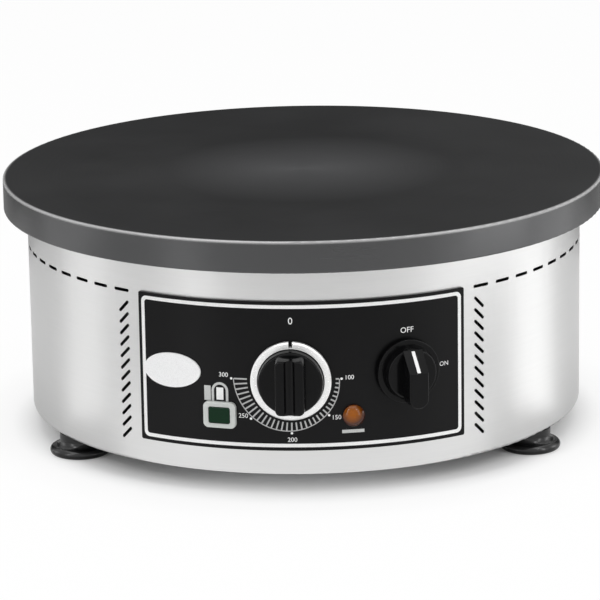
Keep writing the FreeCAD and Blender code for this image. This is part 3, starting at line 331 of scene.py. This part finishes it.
def moulded(name, colour, roughness, relief=0.2, grain_scale=2600.0, coat=0.0, specular=0.5):
    """Moulded plastic or rubber: a fine even grain and a faint tone drift."""
    finish = Finish(name)
    grain = finish.noise(grain_scale, 2.0)
    drift = finish.noise(32.0, 3.0)
    base = finish.blend(drift, rgb(colour, 0.86), rgb(colour, 1.16))
    finish.set(Base_Color=base, Roughness=(roughness - 0.05) + drift * 0.08 + grain * 0.04,
               Coat_Weight=coat, Coat_Roughness=0.07, Specular_IOR_Level=specular,
               Normal=finish.bump(grain, relief, 0.00006))
    return finish.material


def satin_black_panel(colour):
    """The fascia: screen-printed satin black on metal."""
    finish = Finish("satin_black_panel")
    orange_peel = finish.noise(700.0, 2.0)
    drift = finish.noise(14.0, 3.0)
    dust = finish.stops(finish.noise(2200.0, 2.0), (0.72, 0.0), (0.8, 1.0))
    base = finish.blend(dust * 0.25, finish.blend(drift, rgb(colour, 0.85), rgb(colour, 1.3)), rgb(0.03))
    finish.set(Base_Color=base, Roughness=0.26 + drift * 0.08 + dust * 0.2,
               Specular_IOR_Level=0.13, Normal=finish.bump(orange_peel, 0.05, 0.00005))
    return finish.material


def printed_white(name, colour):
    """Screen-printed ink."""
    finish = Finish(name)
    ink = finish.noise(1800.0, 2.0)
    base = finish.blend(finish.stops(ink, (0.3, 0.0), (0.6, 1.0)), rgb(colour, 0.88), rgb(colour, 1.0))
    finish.set(Base_Color=base, Roughness=0.38 + ink * 0.1, Normal=finish.bump(ink, 0.06, 0.00003))
    return finish.material


def lens(name, colour, dark, coat):
    """A coloured lens: clear and bright seen straight on, deep at its edges, with a faint drift."""
    finish = Finish(name)
    aslant = finish.node("ShaderNodeLayerWeight", None, {"Blend": 0.4}, output="Facing")
    drift = finish.noise(160.0, 2.0)
    grain = finish.noise(1400.0, 2.0)
    base = finish.blend(aslant * 3.0 + drift * 0.15, rgb(colour), rgb(dark))
    finish.set(Base_Color=base, Roughness=0.2 + drift * 0.06, Coat_Weight=coat, Coat_Roughness=0.05,
               Specular_IOR_Level=0.1, Normal=finish.bump(grain, 0.05, 0.0001))
    return finish.material


def oxidised_sheath(colour):
    """The heater's sheath, browned and blued by heat."""
    finish = Finish("oxidised_sheath")
    bands = finish.noise(38.0, 4.0)
    base = finish.blend(finish.stops(bands, (0.38, 0.0), (0.62, 1.0)), rgb(colour), rgb((0.12, 0.13, 0.2)))
    finish.set(Base_Color=base, Metallic=0.8, Roughness=0.36 + bands * 0.2)
    return finish.material


def felted_wool(colour):
    """Mineral wool: soft, matte and speckled."""
    finish = Finish("felted_wool")
    tuft = finish.noise(240.0, 6.0, roughness=0.75)
    base = finish.blend(tuft, rgb(colour, 0.7), rgb(colour, 1.15))
    finish.set(Base_Color=base, Roughness=0.95, Specular_IOR_Level=0.1, Normal=finish.bump(tuft, 0.8, 0.001))
    return finish.material


def fired_ceramic(colour):
    """Unglazed ceramic with fine pores."""
    finish = Finish("fired_ceramic")
    pores = finish.noise(600.0, 5.0)
    base = finish.blend(pores, rgb(colour, 0.88), rgb(colour, 1.02))
    finish.set(Base_Color=base, Roughness=0.6 + pores * 0.2, Normal=finish.bump(pores, 0.25, 0.0002))
    return finish.material


# Meshes


def on_control(point, angle, height):
    """A control's point, with X to the right, Y up and Z out from the fascia, as a place in the frame."""
    x, y, out = point
    return Matrix.Rotation(angle, 3, "Z") @ Vector((x, -(out + FASCIA_RADIUS), height + y))


def on_fascia(point, angle, height):
    """A flat print's point (along the arc, up, proud of the fascia), laid round the fascia."""
    along, up, proud = point
    radius = FASCIA_RADIUS + proud
    turn = angle + along / FASCIA_RADIUS
    return Vector((radius * math.sin(turn), -radius * math.cos(turn), height + up))


def linked(name, data):
    """A new object, put in the scene."""
    made = bpy.data.objects.new(name, data)
    bpy.context.scene.collection.objects.link(made)
    return made


def finish_mesh(name, built, material):
    """A bmesh made into an object at the origin, with its doubles merged and its faces outwards."""
    bmesh.ops.remove_doubles(built, verts=built.verts, dist=MERGE_DISTANCE)
    bmesh.ops.recalc_face_normals(built, faces=built.faces)
    mesh = bpy.data.meshes.new(name)
    built.to_mesh(mesh)
    built.free()
    mesh.materials.append(material)
    mesh.shade_flat()
    return linked(name, mesh)


def evaluated_bmesh(holder):
    """What an object's curve or modifiers make, as a bmesh. The object itself goes."""
    bpy.context.view_layer.update()
    mesh = bpy.data.meshes.new_from_object(holder.evaluated_get(bpy.context.evaluated_depsgraph_get()))
    holder.modifiers.clear()
    bpy.data.objects.remove(holder)
    built = bmesh.new()
    built.from_mesh(mesh)
    bpy.data.meshes.remove(mesh)
    return built


def loop_wall(built, lower, upper):
    """Quads between two closed loops of as many vertices."""
    count = len(lower)
    for i in range(count):
        j = (i + 1) % count
        built.faces.new((lower[i], lower[j], upper[j], upper[i]))


def add_frame(built, outer, inner, top, laid):
    """A flat frame between two closed outlines, from the fascia to top proud of it."""
    rings = [[built.verts.new(laid((x, y, lift))) for x, y in outline]
             for outline, lift in ((outer, 0.0), (outer, top), (inner, top), (inner, 0.0))]
    for ring, following in zip(rings, rings[1:] + rings[:1]):
        loop_wall(built, ring, following)


def add_strip(built, pairs, base, top, laid):
    """A bar along pairs of points (near, far), from base to top proud of the fascia, closed at both ends."""
    rows = []
    for near, far in pairs:
        spots = ((near, base), (far, base), (far, top), (near, top))
        rows.append([built.verts.new(laid((x, y, lift))) for (x, y), lift in spots])
    for row, following in zip(rows, rows[1:]):
        loop_wall(built, row, following)
    built.faces.new(rows[0])
    built.faces.new(rows[-1][::-1])


def add_bar(built, sides, ends, base, top, laid, cuts=1):
    """A rectangle from side to side and from end to end, cut up from side to side so that it can bend."""
    (left, right), (low, high) = sides, ends
    across = [left + (right - left) * (i / cuts) for i in range(cuts + 1)]
    add_strip(built, [((x, low), (x, high)) for x in across], base, top, laid)


def rounded_outline(half_width, half_height, corner):
    """A rounded rectangle about the middle, with its long sides cut up so that it can bend."""
    side_cuts, corner_steps = 24, 6
    flat_x, flat_y = half_width - corner, half_height - corner
    points = []
    for sx, sy, start in ((1, -1, -90), (1, 1, 0), (-1, 1, 90), (-1, -1, 180)):
        for i in range(corner_steps + 1):
            turn = math.radians(start + 90 * i / corner_steps)
            points.append((sx * flat_x + corner * math.cos(turn), sy * flat_y + corner * math.sin(turn)))
        if sx == sy:
            points += [(sx * flat_x * (1 - 2 * i / side_cuts), sy * half_height) for i in range(1, side_cuts)]
    return points


def dress(names, material):
    """Gives CAD nodes a finish."""
    for name in names:
        piece = nodes[name]
        piece.data.materials.clear()
        piece.data.materials.append(material)


def ride_and_slot(piece, body):
    """Makes a piece follow a body."""
    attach(piece, body)
    return piece


def print_mark(name, built, material):
    """A mark printed on the fascia."""
    ride_and_slot(finish_mesh(name, built, material), HOUSING)


def print_words(name, words, height, place, control, material):
    """Characters printed on the fascia, with their middle at a place (along, up) from a control's axis."""
    depth = sizes().print_depth
    curve = bpy.data.curves.new(name, "FONT")
    curve.body = words
    curve.size = height / CAPITAL_SHARE
    curve.extrude = depth / 2
    curve.align_x = "CENTER"
    curve.align_y = "CENTER"
    curve.resolution_u = 3
    built = evaluated_bmesh(linked(name, curve))
    for vertex in built.verts:
        x, y, z = vertex.co
        vertex.co = on_fascia((place[0] + x, place[1] + y, depth / 2 + z), *control)
    print_mark(name, built, material)


# What repeats


def geometry_tree(name, inputs):
    """An empty Geometry Nodes tree with named number inputs and one geometry output."""
    tree = bpy.data.node_groups.new(name, "GeometryNodeTree")
    for label, kind in inputs:
        tree.interface.new_socket(label, in_out="INPUT", socket_type=kind)
    tree.interface.new_socket("Geometry", in_out="OUTPUT", socket_type="NodeSocketGeometry")
    entry = tree.nodes.new("NodeGroupInput")
    leave = tree.nodes.new("NodeGroupOutput")
    return tree, entry, leave


def geometry_node(tree, kind, settings=None, inputs=None):
    """A node with its settings made first, then its inputs, each a value or another node's socket."""
    made = tree.nodes.new(kind)
    for key, value in (settings or {}).items():
        setattr(made, key, value)
    for key, value in (inputs or {}).items():
        if isinstance(value, bpy.types.NodeSocket):
            tree.links.new(value, made.inputs[key])
        else:
            made.inputs[key].default_value = value
    return made


def tree_maths(tree, operation, *values):
    """The output of a Math node in a Geometry Nodes tree."""
    made = geometry_node(tree, "ShaderNodeMath", {"operation": operation}, dict(enumerate(values)))
    return made.outputs[0]


def grown(name, tree, values):
    """The bmesh that a Geometry Nodes tree makes from these inputs."""
    seed = linked(name, bpy.data.meshes.new(name))
    modifier = seed.modifiers.new(name, "NODES")
    modifier.node_group = tree
    labels = {item.name: item.identifier for item in tree.interface.items_tree if item.in_out == "INPUT"}
    for label, value in values.items():
        modifier[labels[label]] = value
    return evaluated_bmesh(seed)


def tick_tree(material):
    """Bars on an arc: each stands out from the inner radius, and their lengths pass from first to last."""
    measures = (
        "Inner radius", "First length", "Last length", "Width", "Thickness", "First angle", "Step angle")
    inputs = [("Count", "NodeSocketInt")] + [(label, "NodeSocketFloat") for label in measures]
    tree, entry, leave = geometry_tree("scale_ticks", inputs)
    sockets = entry.outputs
    line = geometry_node(tree, "GeometryNodeMeshLine", None, {"Count": sockets["Count"], "Offset": (0, 0, 0)})
    index = geometry_node(tree, "GeometryNodeInputIndex").outputs[0]
    share = tree_maths(tree, "DIVIDE", index, tree_maths(tree, "SUBTRACT", sockets["Count"], 1.0))
    length = geometry_node(tree, "ShaderNodeMix", {"data_type": "FLOAT"}, {
        0: share, 2: sockets["First length"], 3: sockets["Last length"]}).outputs[0]
    turn = tree_maths(tree, "MULTIPLY_ADD", index, sockets["Step angle"], sockets["First angle"])
    reach = tree_maths(tree, "ADD", tree_maths(tree, "MULTIPLY", length, 0.5), sockets["Inner radius"])
    across = tree_maths(tree, "MULTIPLY", tree_maths(tree, "COSINE", turn), reach)
    upward = tree_maths(tree, "MULTIPLY", tree_maths(tree, "SINE", turn), reach)
    spot = geometry_node(tree, "ShaderNodeCombineXYZ", None, {0: across, 1: upward})
    moved = geometry_node(tree, "GeometryNodeSetPosition", None, {
        "Geometry": line.outputs[0], "Position": spot.outputs[0]})
    bar = geometry_node(tree, "GeometryNodeMeshCube", None, {"Size": (1, 1, 1)})
    spin = geometry_node(tree, "ShaderNodeCombineXYZ", None, {2: turn})
    scale = geometry_node(tree, "ShaderNodeCombineXYZ", None, {
        0: length, 1: sockets["Width"], 2: sockets["Thickness"]})
    placed = geometry_node(tree, "GeometryNodeInstanceOnPoints", None, {
        "Points": moved.outputs[0], "Instance": bar.outputs[0], "Rotation": spin.outputs[0],
        "Scale": scale.outputs[0]})
    real = geometry_node(tree, "GeometryNodeRealizeInstances", None, {0: placed.outputs[0]})
    coloured = geometry_node(tree, "GeometryNodeSetMaterial", None, {
        0: real.outputs[0], "Material": material})
    tree.links.new(coloured.outputs[0], leave.inputs[0])
    return tree


# What a user would change


class CrepeMakerSizes(bpy.types.PropertyGroup):
    """Sizes of the printed marks."""

    line_margin: bpy.props.FloatProperty(
        name="Line margin", description="From the fascia's edge to the printed line",
        default=2.3 * MM, unit="LENGTH")
    line_width: bpy.props.FloatProperty(
        name="Line width", description="Width of the printed line round the fascia",
        default=2.3 * MM, unit="LENGTH")
    line_corner: bpy.props.FloatProperty(
        name="Line corner", description="Corner radius of the printed line",
        default=3.6 * MM, unit="LENGTH")
    scale_inner: bpy.props.FloatProperty(
        name="Scale inner radius", description="From the thermostat's axis to the start of the ticks",
        default=28.0 * MM, unit="LENGTH")
    scale_first: bpy.props.FloatProperty(
        name="Longest tick", description="Length of the tick at the hottest end",
        default=8.4 * MM, unit="LENGTH")
    scale_last: bpy.props.FloatProperty(
        name="Shortest tick", description="Length of the tick at the coolest end",
        default=2.0 * MM, unit="LENGTH")
    tick_width: bpy.props.FloatProperty(
        name="Tick width", description="Width of each tick", default=0.95 * MM, unit="LENGTH")
    tick_count: bpy.props.IntProperty(
        name="Ticks", description="Ticks along the half circle", default=33, min=2)
    number_height: bpy.props.FloatProperty(
        name="Number height", description="Height of the printed numbers", default=2.9 * MM, unit="LENGTH")
    print_depth: bpy.props.FloatProperty(
        name="Print depth", description="How proud the ink stands", default=0.12 * MM, unit="LENGTH")


class CrepeMakerColours(bpy.types.PropertyGroup):
    """Colours of the finishes."""

    iron: bpy.props.FloatVectorProperty(
        name="Griddle", description="Seasoned cast iron", subtype="COLOR", size=3,
        default=(0.0185, 0.0187, 0.0192))
    stainless: bpy.props.FloatVectorProperty(
        name="Stainless", description="The drum's brushed sheet", subtype="COLOR", size=3,
        default=(0.62, 0.62, 0.617))
    panel: bpy.props.FloatVectorProperty(
        name="Panel", description="The fascia's black", subtype="COLOR", size=3,
        default=(0.003, 0.003, 0.0033))
    knob: bpy.props.FloatVectorProperty(
        name="Knobs", description="The knobs' plastic", subtype="COLOR", size=3,
        default=(0.003, 0.003, 0.0033))
    rubber: bpy.props.FloatVectorProperty(
        name="Rubber", description="The feet and the gland's seal", subtype="COLOR", size=3,
        default=(0.007, 0.007, 0.0075))
    ink: bpy.props.FloatVectorProperty(
        name="Ink", description="The printed marks", subtype="COLOR", size=3, default=(0.93, 0.93, 0.925))
    amber: bpy.props.FloatVectorProperty(
        name="Amber lens", description="The heating lamp", subtype="COLOR", size=3,
        default=(0.33, 0.09, 0.001))
    green: bpy.props.FloatVectorProperty(
        name="Green lens", description="The mains lamp", subtype="COLOR", size=3, default=(0.002, 0.03, 0.01))


def sizes():
    return bpy.context.scene.crepe_maker_sizes


def colours():
    return bpy.context.scene.crepe_maker_colours


class CREPE_OT_griddle(bpy.types.Operator):
    """Finish the cast-iron griddle"""

    bl_idname = "crepe.griddle"
    bl_label = "Griddle"

    def execute(self, context):
        dress(["griddle_plate"], seasoned_iron(colours().iron))
        return {"FINISHED"}


class CREPE_OT_drum(bpy.types.Operator):
    """Finish the drum's brushed wall"""

    bl_idname = "crepe.drum"
    bl_label = "Drum"

    def execute(self, context):
        dress(["drum_shell", "seam_strip"], brushed_stainless(colours().stainless))
        dress(["seam_rivets"], turned_metal("rivet_steel", (0.62, 0.62, 0.61), 0.28))
        return {"FINISHED"}


class CREPE_OT_inside(bpy.types.Operator):
    """Finish the heater, the insulation, the wiring parts and the fasteners inside and underneath"""

    bl_idname = "crepe.inside"
    bl_label = "Inside and underneath"

    def execute(self, context):
        dress(["element_clamp_plate", "heat_shield", "chassis_disc"],
              flat_steel("galvanised_sheet", (0.46, 0.47, 0.48), 0.42))
        plated = [
            "clamp_studs", "clamp_nuts", "support_post_left", "support_post_right", "support_post_rear",
            "post_nuts", "chassis_screws", "chassis_screw_nuts", "foot_bolts", "foot_nuts",
            "thermostat_screws", "switch_screws", "thermostat_shaft", "switch_shaft", "heating_lamp_nut",
            "block_fixing_screws",
        ]
        dress(plated, flat_steel("zinc_plate", (0.55, 0.55, 0.52), 0.3))
        dress(["heating_element"], oxidised_sheath((0.2, 0.15, 0.11)))
        dress(["insulation_disc"], felted_wool((0.62, 0.55, 0.36)))
        dress(["element_terminals", "terminal_block"], fired_ceramic((0.8, 0.79, 0.75)))
        dress(["terminal_screws", "earth_stud", "earth_nut"], turned_metal("brass", (0.72, 0.55, 0.24), 0.28))
        dress(["thermostat_capillary", "thermostat_bulb"], turned_metal("copper", (0.72, 0.36, 0.22), 0.3))
        dress(["thermostat_body", "switch_body", "mains_lamp_body", "heating_lamp_body"],
              moulded("phenolic", (0.3, 0.28, 0.24), 0.5))
        return {"FINISHED"}


class CREPE_OT_feet(bpy.types.Operator):
    """Finish the rubber feet"""

    bl_idname = "crepe.feet"
    bl_label = "Feet"

    def execute(self, context):
        rubber = moulded("foot_rubber", colours().rubber, 0.24, 0.2, 1500.0, specular=0.45)
        dress(["foot_left", "foot_right", "foot_rear", "gland_seal"], rubber)
        return {"FINISHED"}


class CREPE_OT_gland(bpy.types.Operator):
    """Finish the cable entry at the back"""

    bl_idname = "crepe.gland"
    bl_label = "Cable entry"

    def execute(self, context):
        dress(["gland_body", "gland_cap", "gland_locknut"], moulded("gland_nylon", (0.03, 0.03, 0.032), 0.45))
        return {"FINISHED"}


class CREPE_OT_panel(bpy.types.Operator):
    """Finish the fascia and print its line, labels and marks"""

    bl_idname = "crepe.panel"
    bl_label = "Control panel"

    def execute(self, context):
        dress(["control_fascia"], satin_black_panel(colours().panel))
        ink = printed_white("white_ink", colours().ink)
        grey = printed_white("grey_ink", GREY_INK)
        size = sizes()
        self.line(ink, size)

        built = bmesh.new()
        beneath_lamp = partial(on_fascia, angle=HEATING_ANGLE, height=HEATING_HEIGHT)
        add_bar(built, (-7.1 * MM, 7.1 * MM), (-11.5 * MM, -9.4 * MM), 0.0, size.print_depth, beneath_lamp, 6)
        print_mark("lamp_label_bar", built, grey)

        self.mark_over_lamp(ink, grey, size.print_depth)
        print_words("label_off", "OFF", 3.6 * MM, (0.4 * MM, 26.0 * MM), SWITCH, ink)
        print_words("label_on", "ON", 2.9 * MM, (26.1 * MM, 0.8 * MM), SWITCH, ink)
        return {"FINISHED"}

    def line(self, ink, size):
        """The line round the fascia, near its edge."""
        half_width = FASCIA_HALF_ANGLE * FASCIA_RADIUS - size.line_margin
        half_height = (FASCIA_TOP - FASCIA_BOTTOM) / 2 - size.line_margin
        inner_corner = size.line_corner - size.line_width * 0.7
        outer = rounded_outline(half_width, half_height, size.line_corner)
        inner = rounded_outline(half_width - size.line_width, half_height - size.line_width, inner_corner)
        built = bmesh.new()
        middle_height = (FASCIA_TOP + FASCIA_BOTTOM) / 2
        add_frame(built, outer, inner, size.print_depth, partial(on_fascia, angle=0.0, height=middle_height))
        print_mark("panel_line", built, ink)

    def mark_over_lamp(self, ink, grey, depth):
        """A plain arch with a bar in it, and a small grey block beside it."""
        laid = partial(on_fascia, angle=MAINS_ANGLE, height=MAINS_HEIGHT)
        outer_radius, stroke, foot, crown = 5.5 * MM, 1.6 * MM, 8.6 * MM, 15.6 * MM
        steps = 10
        outlines = []
        for radius in (outer_radius, outer_radius - stroke):
            turns = [math.pi * i / steps for i in range(steps + 1)]
            arch = [(radius * math.cos(turn), crown + radius * math.sin(turn)) for turn in turns]
            outlines.append([(radius, foot)] + arch + [(-radius, foot)])
        built = bmesh.new()
        add_strip(built, zip(*outlines), 0.0, depth, laid)
        print_mark("lamp_mark_arch", built, grey)
        for name, sides, ends, material in (
            ("lamp_mark_bar", (-2.3 * MM, 2.3 * MM), (9.6 * MM, 17.6 * MM), ink),
            ("lamp_mark_block", (-10.4 * MM, -6.1 * MM), (8.8 * MM, 18.4 * MM), grey),
        ):
            built = bmesh.new()
            add_bar(built, sides, ends, 0.0, depth, laid, 2)
            print_mark(name, built, material)


class CREPE_OT_scale(bpy.types.Operator):
    """Print the thermostat's scale: ticks, closing arc, dots and numbers"""

    bl_idname = "crepe.scale"
    bl_label = "Thermostat scale"

    def execute(self, context):
        ink = bpy.data.materials["white_ink"]
        faint = printed_white("scale_ink", SCALE_INK)
        size = sizes()
        count = size.tick_count
        values = {
            "Count": count, "Inner radius": size.scale_inner, "First length": size.scale_first,
            "Last length": size.scale_last, "Width": size.tick_width, "Thickness": size.print_depth,
            "First angle": math.pi, "Step angle": math.pi / (count - 1),
        }
        built = grown("scale_ticks", tick_tree(faint), values)
        for vertex in built.verts:
            x, y, z = vertex.co
            vertex.co = on_fascia((x, y, z + size.print_depth / 2), *THERMOSTAT)
        print_mark("scale_ticks", built, faint)
        laid = partial(on_fascia, angle=THERMOSTAT_ANGLE, height=THERMOSTAT_HEIGHT)
        self.closing_arc(faint, size, laid)
        self.dots(ink, size, laid)
        for words, along, up in SCALE_NUMBERS:
            print_words("scale_" + words, words, size.number_height, (along * MM, up * MM), THERMOSTAT, ink)
        print_words("scale_0", "0", 4.4 * MM, (0.0, 38.0 * MM), THERMOSTAT, ink)
        return {"FINISHED"}

    def ticks_end(self, size, share):
        """The angle, and the radius that the ticks reach, at a share of the half circle."""
        reach = size.scale_inner + size.scale_first + (size.scale_last - size.scale_first) * share
        return math.pi * (1 + share), reach

    def closing_arc(self, faint, size, laid):
        """The line that joins the ticks' outer ends."""
        steps, width = 96, 0.55 * MM
        pairs = []
        for i in range(steps + 1):
            turn, near = self.ticks_end(size, i / steps)
            pairs.append([(r * math.cos(turn), r * math.sin(turn)) for r in (near, near + width)])
        built = bmesh.new()
        add_strip(built, pairs, 0.0, size.print_depth, laid)
        print_mark("scale_arc", built, faint)

    def dots(self, ink, size, laid):
        """A dot by each number, just outside the arc."""
        gap, dot_radius, corners = 1.7 * MM, 0.8 * MM, 16
        around = [math.tau * k / corners for k in range(corners)]
        built = bmesh.new()
        for i in range(len(SCALE_NUMBERS)):
            turn, reach = self.ticks_end(size, i / (len(SCALE_NUMBERS) - 1))
            middle_x, middle_y = (reach + gap) * math.cos(turn), (reach + gap) * math.sin(turn)
            dot = [(middle_x + dot_radius * math.cos(a), middle_y + dot_radius * math.sin(a)) for a in around]
            low = [built.verts.new(laid((x, y, 0.0))) for x, y in dot]
            high = [built.verts.new(laid((x, y, size.print_depth))) for x, y in dot]
            loop_wall(built, low, high)
            built.faces.new(low[::-1])
            built.faces.new(high)
        print_mark("scale_dots", built, ink)


class CREPE_OT_knobs(bpy.types.Operator):
    """Finish both knobs, the bright ring and the white pointer line"""

    bl_idname = "crepe.knobs"
    bl_label = "Knobs"

    def execute(self, context):
        plastic = moulded("knob_plastic", colours().knob, 0.2, 0.08, 3200.0, coat=0.12, specular=0.07)
        dress(["thermostat_knob", "switch_knob"], plastic)
        self.pointer_line()
        dress(["thermostat_knob_ring"], turned_metal("bright_ring", (0.93, 0.93, 0.925), 0.22, 0.5))
        return {"FINISHED"}

    def pointer_line(self):
        """The white line down the slope of the switch knob's grip, from near the axis to the shoulder."""
        half_width, near, far = 1.1 * MM, 3.6 * MM, 15.0 * MM
        sunk, proud = 0.05 * MM, 0.16 * MM

        def laid(point):
            x, y, lift = point
            out = GRIP_HEIGHT - (y - GRIP_SLOPE_START) * GRIP_SLOPE + lift
            return on_control((x, y, out), *SWITCH)

        built = bmesh.new()
        add_bar(built, (-half_width, half_width), (near, far), -sunk, proud, laid)
        line = finish_mesh("switch_pointer_line", built, bpy.data.materials["white_ink"])
        ride_and_slot(line, SWITCH_BODY)


class CREPE_OT_lamps(bpy.types.Operator):
    """Finish both lamps and the blank badge"""

    bl_idname = "crepe.lamps"
    bl_label = "Lamps and badge"

    def execute(self, context):
        dress(["heating_lamp_lens"], lens("amber_lens", colours().amber, (0.05, 0.009, 0.0005), 0.35))
        dress(["mains_lamp_lens"], lens("green_lens", colours().green, (0.001, 0.006, 0.003), 0.04))
        dress(["mains_lamp_bezel"], moulded("bezel_plastic", (0.6, 0.62, 0.6), 0.3, 0.1))
        dress(["badge_plate"], printed_white("badge_enamel", (0.92, 0.922, 0.925)))
        return {"FINISHED"}


class CREPE_OT_stage(bpy.types.Operator):
    """Set up the floor, the soft lights and the camera"""

    bl_idname = "crepe.stage"
    bl_label = "Stage"

    def execute(self, context):
        self.world()
        self.floor()
        self.cards()
        self.lights()
        self.camera()
        return {"FINISHED"}

    def world(self):
        """A soft fill on the surfaces, and plain white for the camera and in reflections."""
        world = bpy.data.worlds.new("studio")
        bpy.context.scene.world = world
        world.use_nodes = True
        tree = world.node_tree
        tree.nodes.clear()
        path = tree.nodes.new("ShaderNodeLightPath")
        seen = path.outputs["Is Camera Ray"]
        for ray in ("Is Glossy Ray", "Is Transmission Ray"):
            either = tree.nodes.new("ShaderNodeMath")
            either.operation = "MAXIMUM"
            tree.links.new(seen, either.inputs[0])
            tree.links.new(path.outputs[ray], either.inputs[1])
            seen = either.outputs[0]
        mixed = tree.nodes.new("ShaderNodeMixShader")
        tree.links.new(seen, mixed.inputs[0])
        for socket, strength in ((1, WORLD_FILL), (2, 1.0)):
            background = tree.nodes.new("ShaderNodeBackground")
            background.inputs["Color"].default_value = rgb(1.0)
            background.inputs["Strength"].default_value = strength
            tree.links.new(background.outputs[0], mixed.inputs[socket])
        out = tree.nodes.new("ShaderNodeOutputWorld")
        tree.links.new(mixed.outputs[0], out.inputs["Surface"])

    def floor(self):
        """A pale floor that keeps the shadow; seen directly, it passes into white a little way off."""
        finish = Finish("pale_floor", "ShaderNodeBsdfDiffuse")
        finish.set(Color=rgb(0.86))
        tree = finish.tree
        radius = finish.round_the_axis()[1]
        seen = finish.node("ShaderNodeLightPath", output="Is Camera Ray")
        away = finish.stops(radius, (0.16, 0.02), (0.18, 0.3), (0.2, 0.82), (0.235, 0.96)) * seen
        glow = tree.nodes.new("ShaderNodeEmission")
        mixed = tree.nodes.new("ShaderNodeMixShader")
        finish.put(mixed.inputs[0], away)
        tree.links.new(finish.surface.outputs[0], mixed.inputs[1])
        tree.links.new(glow.outputs[0], mixed.inputs[2])
        tree.links.new(mixed.outputs[0], finish.out.inputs["Surface"])
        built = bmesh.new()
        bmesh.ops.create_circle(built, cap_ends=True, segments=96, radius=6.0)
        finish_mesh("floor", built, finish.material)

    def card(self, name, corners, strength):
        """A plain card that only reflections show."""
        finish = Finish(name, "ShaderNodeEmission")
        finish.set(Strength=strength)
        built = bmesh.new()
        built.faces.new([built.verts.new(corner) for corner in corners])
        card = finish_mesh(name, built, finish.material)
        card.visible_camera = card.visible_diffuse = card.visible_shadow = False

    def low_card(self, name, heading, half_spread, strength, near, far, lift):
        """A card just over the floor, which widens away from the drum in the direction of a heading."""
        turn = math.radians(heading)
        ahead = Vector((math.sin(turn), -math.cos(turn), 0))
        across = Vector((math.cos(turn), math.sin(turn), 0))
        start = Vector((math.sin(turn / 2), -math.cos(turn / 2), 0)) * DRUM_RADIUS + Vector((0, 0, lift))
        corners = []
        for reach, side in ((near, -1), (near, 1), (far, 1), (far, -1)):
            half_width = reach * math.tan(math.radians(half_spread)) + 15 * MM
            corners.append(start + ahead * reach + across * side * half_width)
        self.card(name, corners, strength)

    def cards(self):
        """Dark behind the machine and bright before and beside it, as in a product studio."""
        for name, strength, *corners in PLACED_CARDS:
            self.card(name, corners, strength)
        for i, card in enumerate(LOW_CARDS):
            self.low_card(*card, lift=(2 + i * 0.2) * MM)

    def lights(self):
        """A soft box above, tall ones at both sides, and two small lamps for glints."""
        for name, place, target, size, power in LIGHTS:
            lamp = bpy.data.lights.new(name, "AREA")
            lamp.shape = "RECTANGLE"
            lamp.size, lamp.size_y = size
            lamp.energy = power
            holder = linked(name, lamp)
            holder.location = place
            holder.rotation_euler = (Vector(target) - Vector(place)).to_track_quat("-Z", "Y").to_euler()

    def camera(self):
        """The photograph's view: a long lens from the front, a little above the plate."""
        plate_top = Vector((0, 0, PLATE_TOP))
        turn = Matrix.Rotation(CAMERA_AZIMUTH, 3, "Z")
        ahead = Vector((0, -math.cos(CAMERA_ELEVATION), math.sin(CAMERA_ELEVATION)))
        place = turn @ (ahead * CAMERA_DISTANCE) + plate_top
        target = turn @ CAMERA_TARGET + plate_top
        forward = (target - place).normalized()
        right = forward.cross(Vector((0, 0, 1))).normalized()
        up = right.cross(forward)
        rolled_right = right * math.cos(CAMERA_ROLL) + up * math.sin(CAMERA_ROLL)
        rolled_up = up * math.cos(CAMERA_ROLL) - right * math.sin(CAMERA_ROLL)
        long_lens = bpy.data.cameras.new("camera")
        long_lens.sensor_width = SENSOR_WIDTH
        long_lens.lens = FOCAL_PIXELS / PICTURE_PIXELS * SENSOR_WIDTH
        long_lens.clip_end = 50.0
        holder = linked("camera", long_lens)
        axes = Matrix((rolled_right, rolled_up, -forward)).transposed()
        holder.matrix_world = Matrix.Translation(place) @ axes.to_4x4()
        bpy.context.scene.camera = holder
        bpy.context.scene.view_settings.view_transform = "Standard"


class CREPE_PT_sidebar(bpy.types.Panel):
    """The crepe maker's pieces, one button each"""

    bl_idname = "CREPE_PT_sidebar"
    bl_label = "Crepe maker"
    bl_space_type = "VIEW_3D"
    bl_region_type = "UI"
    bl_category = "Crepe maker"

    def draw(self, context):
        for operator in operators:
            self.layout.operator(operator.bl_idname)
        for group in (sizes(), colours()):
            for name in group.__annotations__:
                self.layout.prop(group, name)


operators = (CREPE_OT_griddle, CREPE_OT_drum, CREPE_OT_inside, CREPE_OT_feet, CREPE_OT_gland, CREPE_OT_panel,
             CREPE_OT_scale, CREPE_OT_knobs, CREPE_OT_lamps, CREPE_OT_stage)
classes = (CrepeMakerSizes, CrepeMakerColours) + operators + (CREPE_PT_sidebar,)


def register():
    for made in classes:
        bpy.utils.register_class(made)
    bpy.types.Scene.crepe_maker_sizes = bpy.props.PointerProperty(type=CrepeMakerSizes)
    bpy.types.Scene.crepe_maker_colours = bpy.props.PointerProperty(type=CrepeMakerColours)


def unregister():
    del bpy.types.Scene.crepe_maker_colours
    del bpy.types.Scene.crepe_maker_sizes
    for made in reversed(classes):
        bpy.utils.unregister_class(made)


def main():
    register()
    for operator in operators:
        family, name = operator.bl_idname.split(".")
        getattr(getattr(bpy.ops, family), name)()


if __name__ == "__main__":
    main()
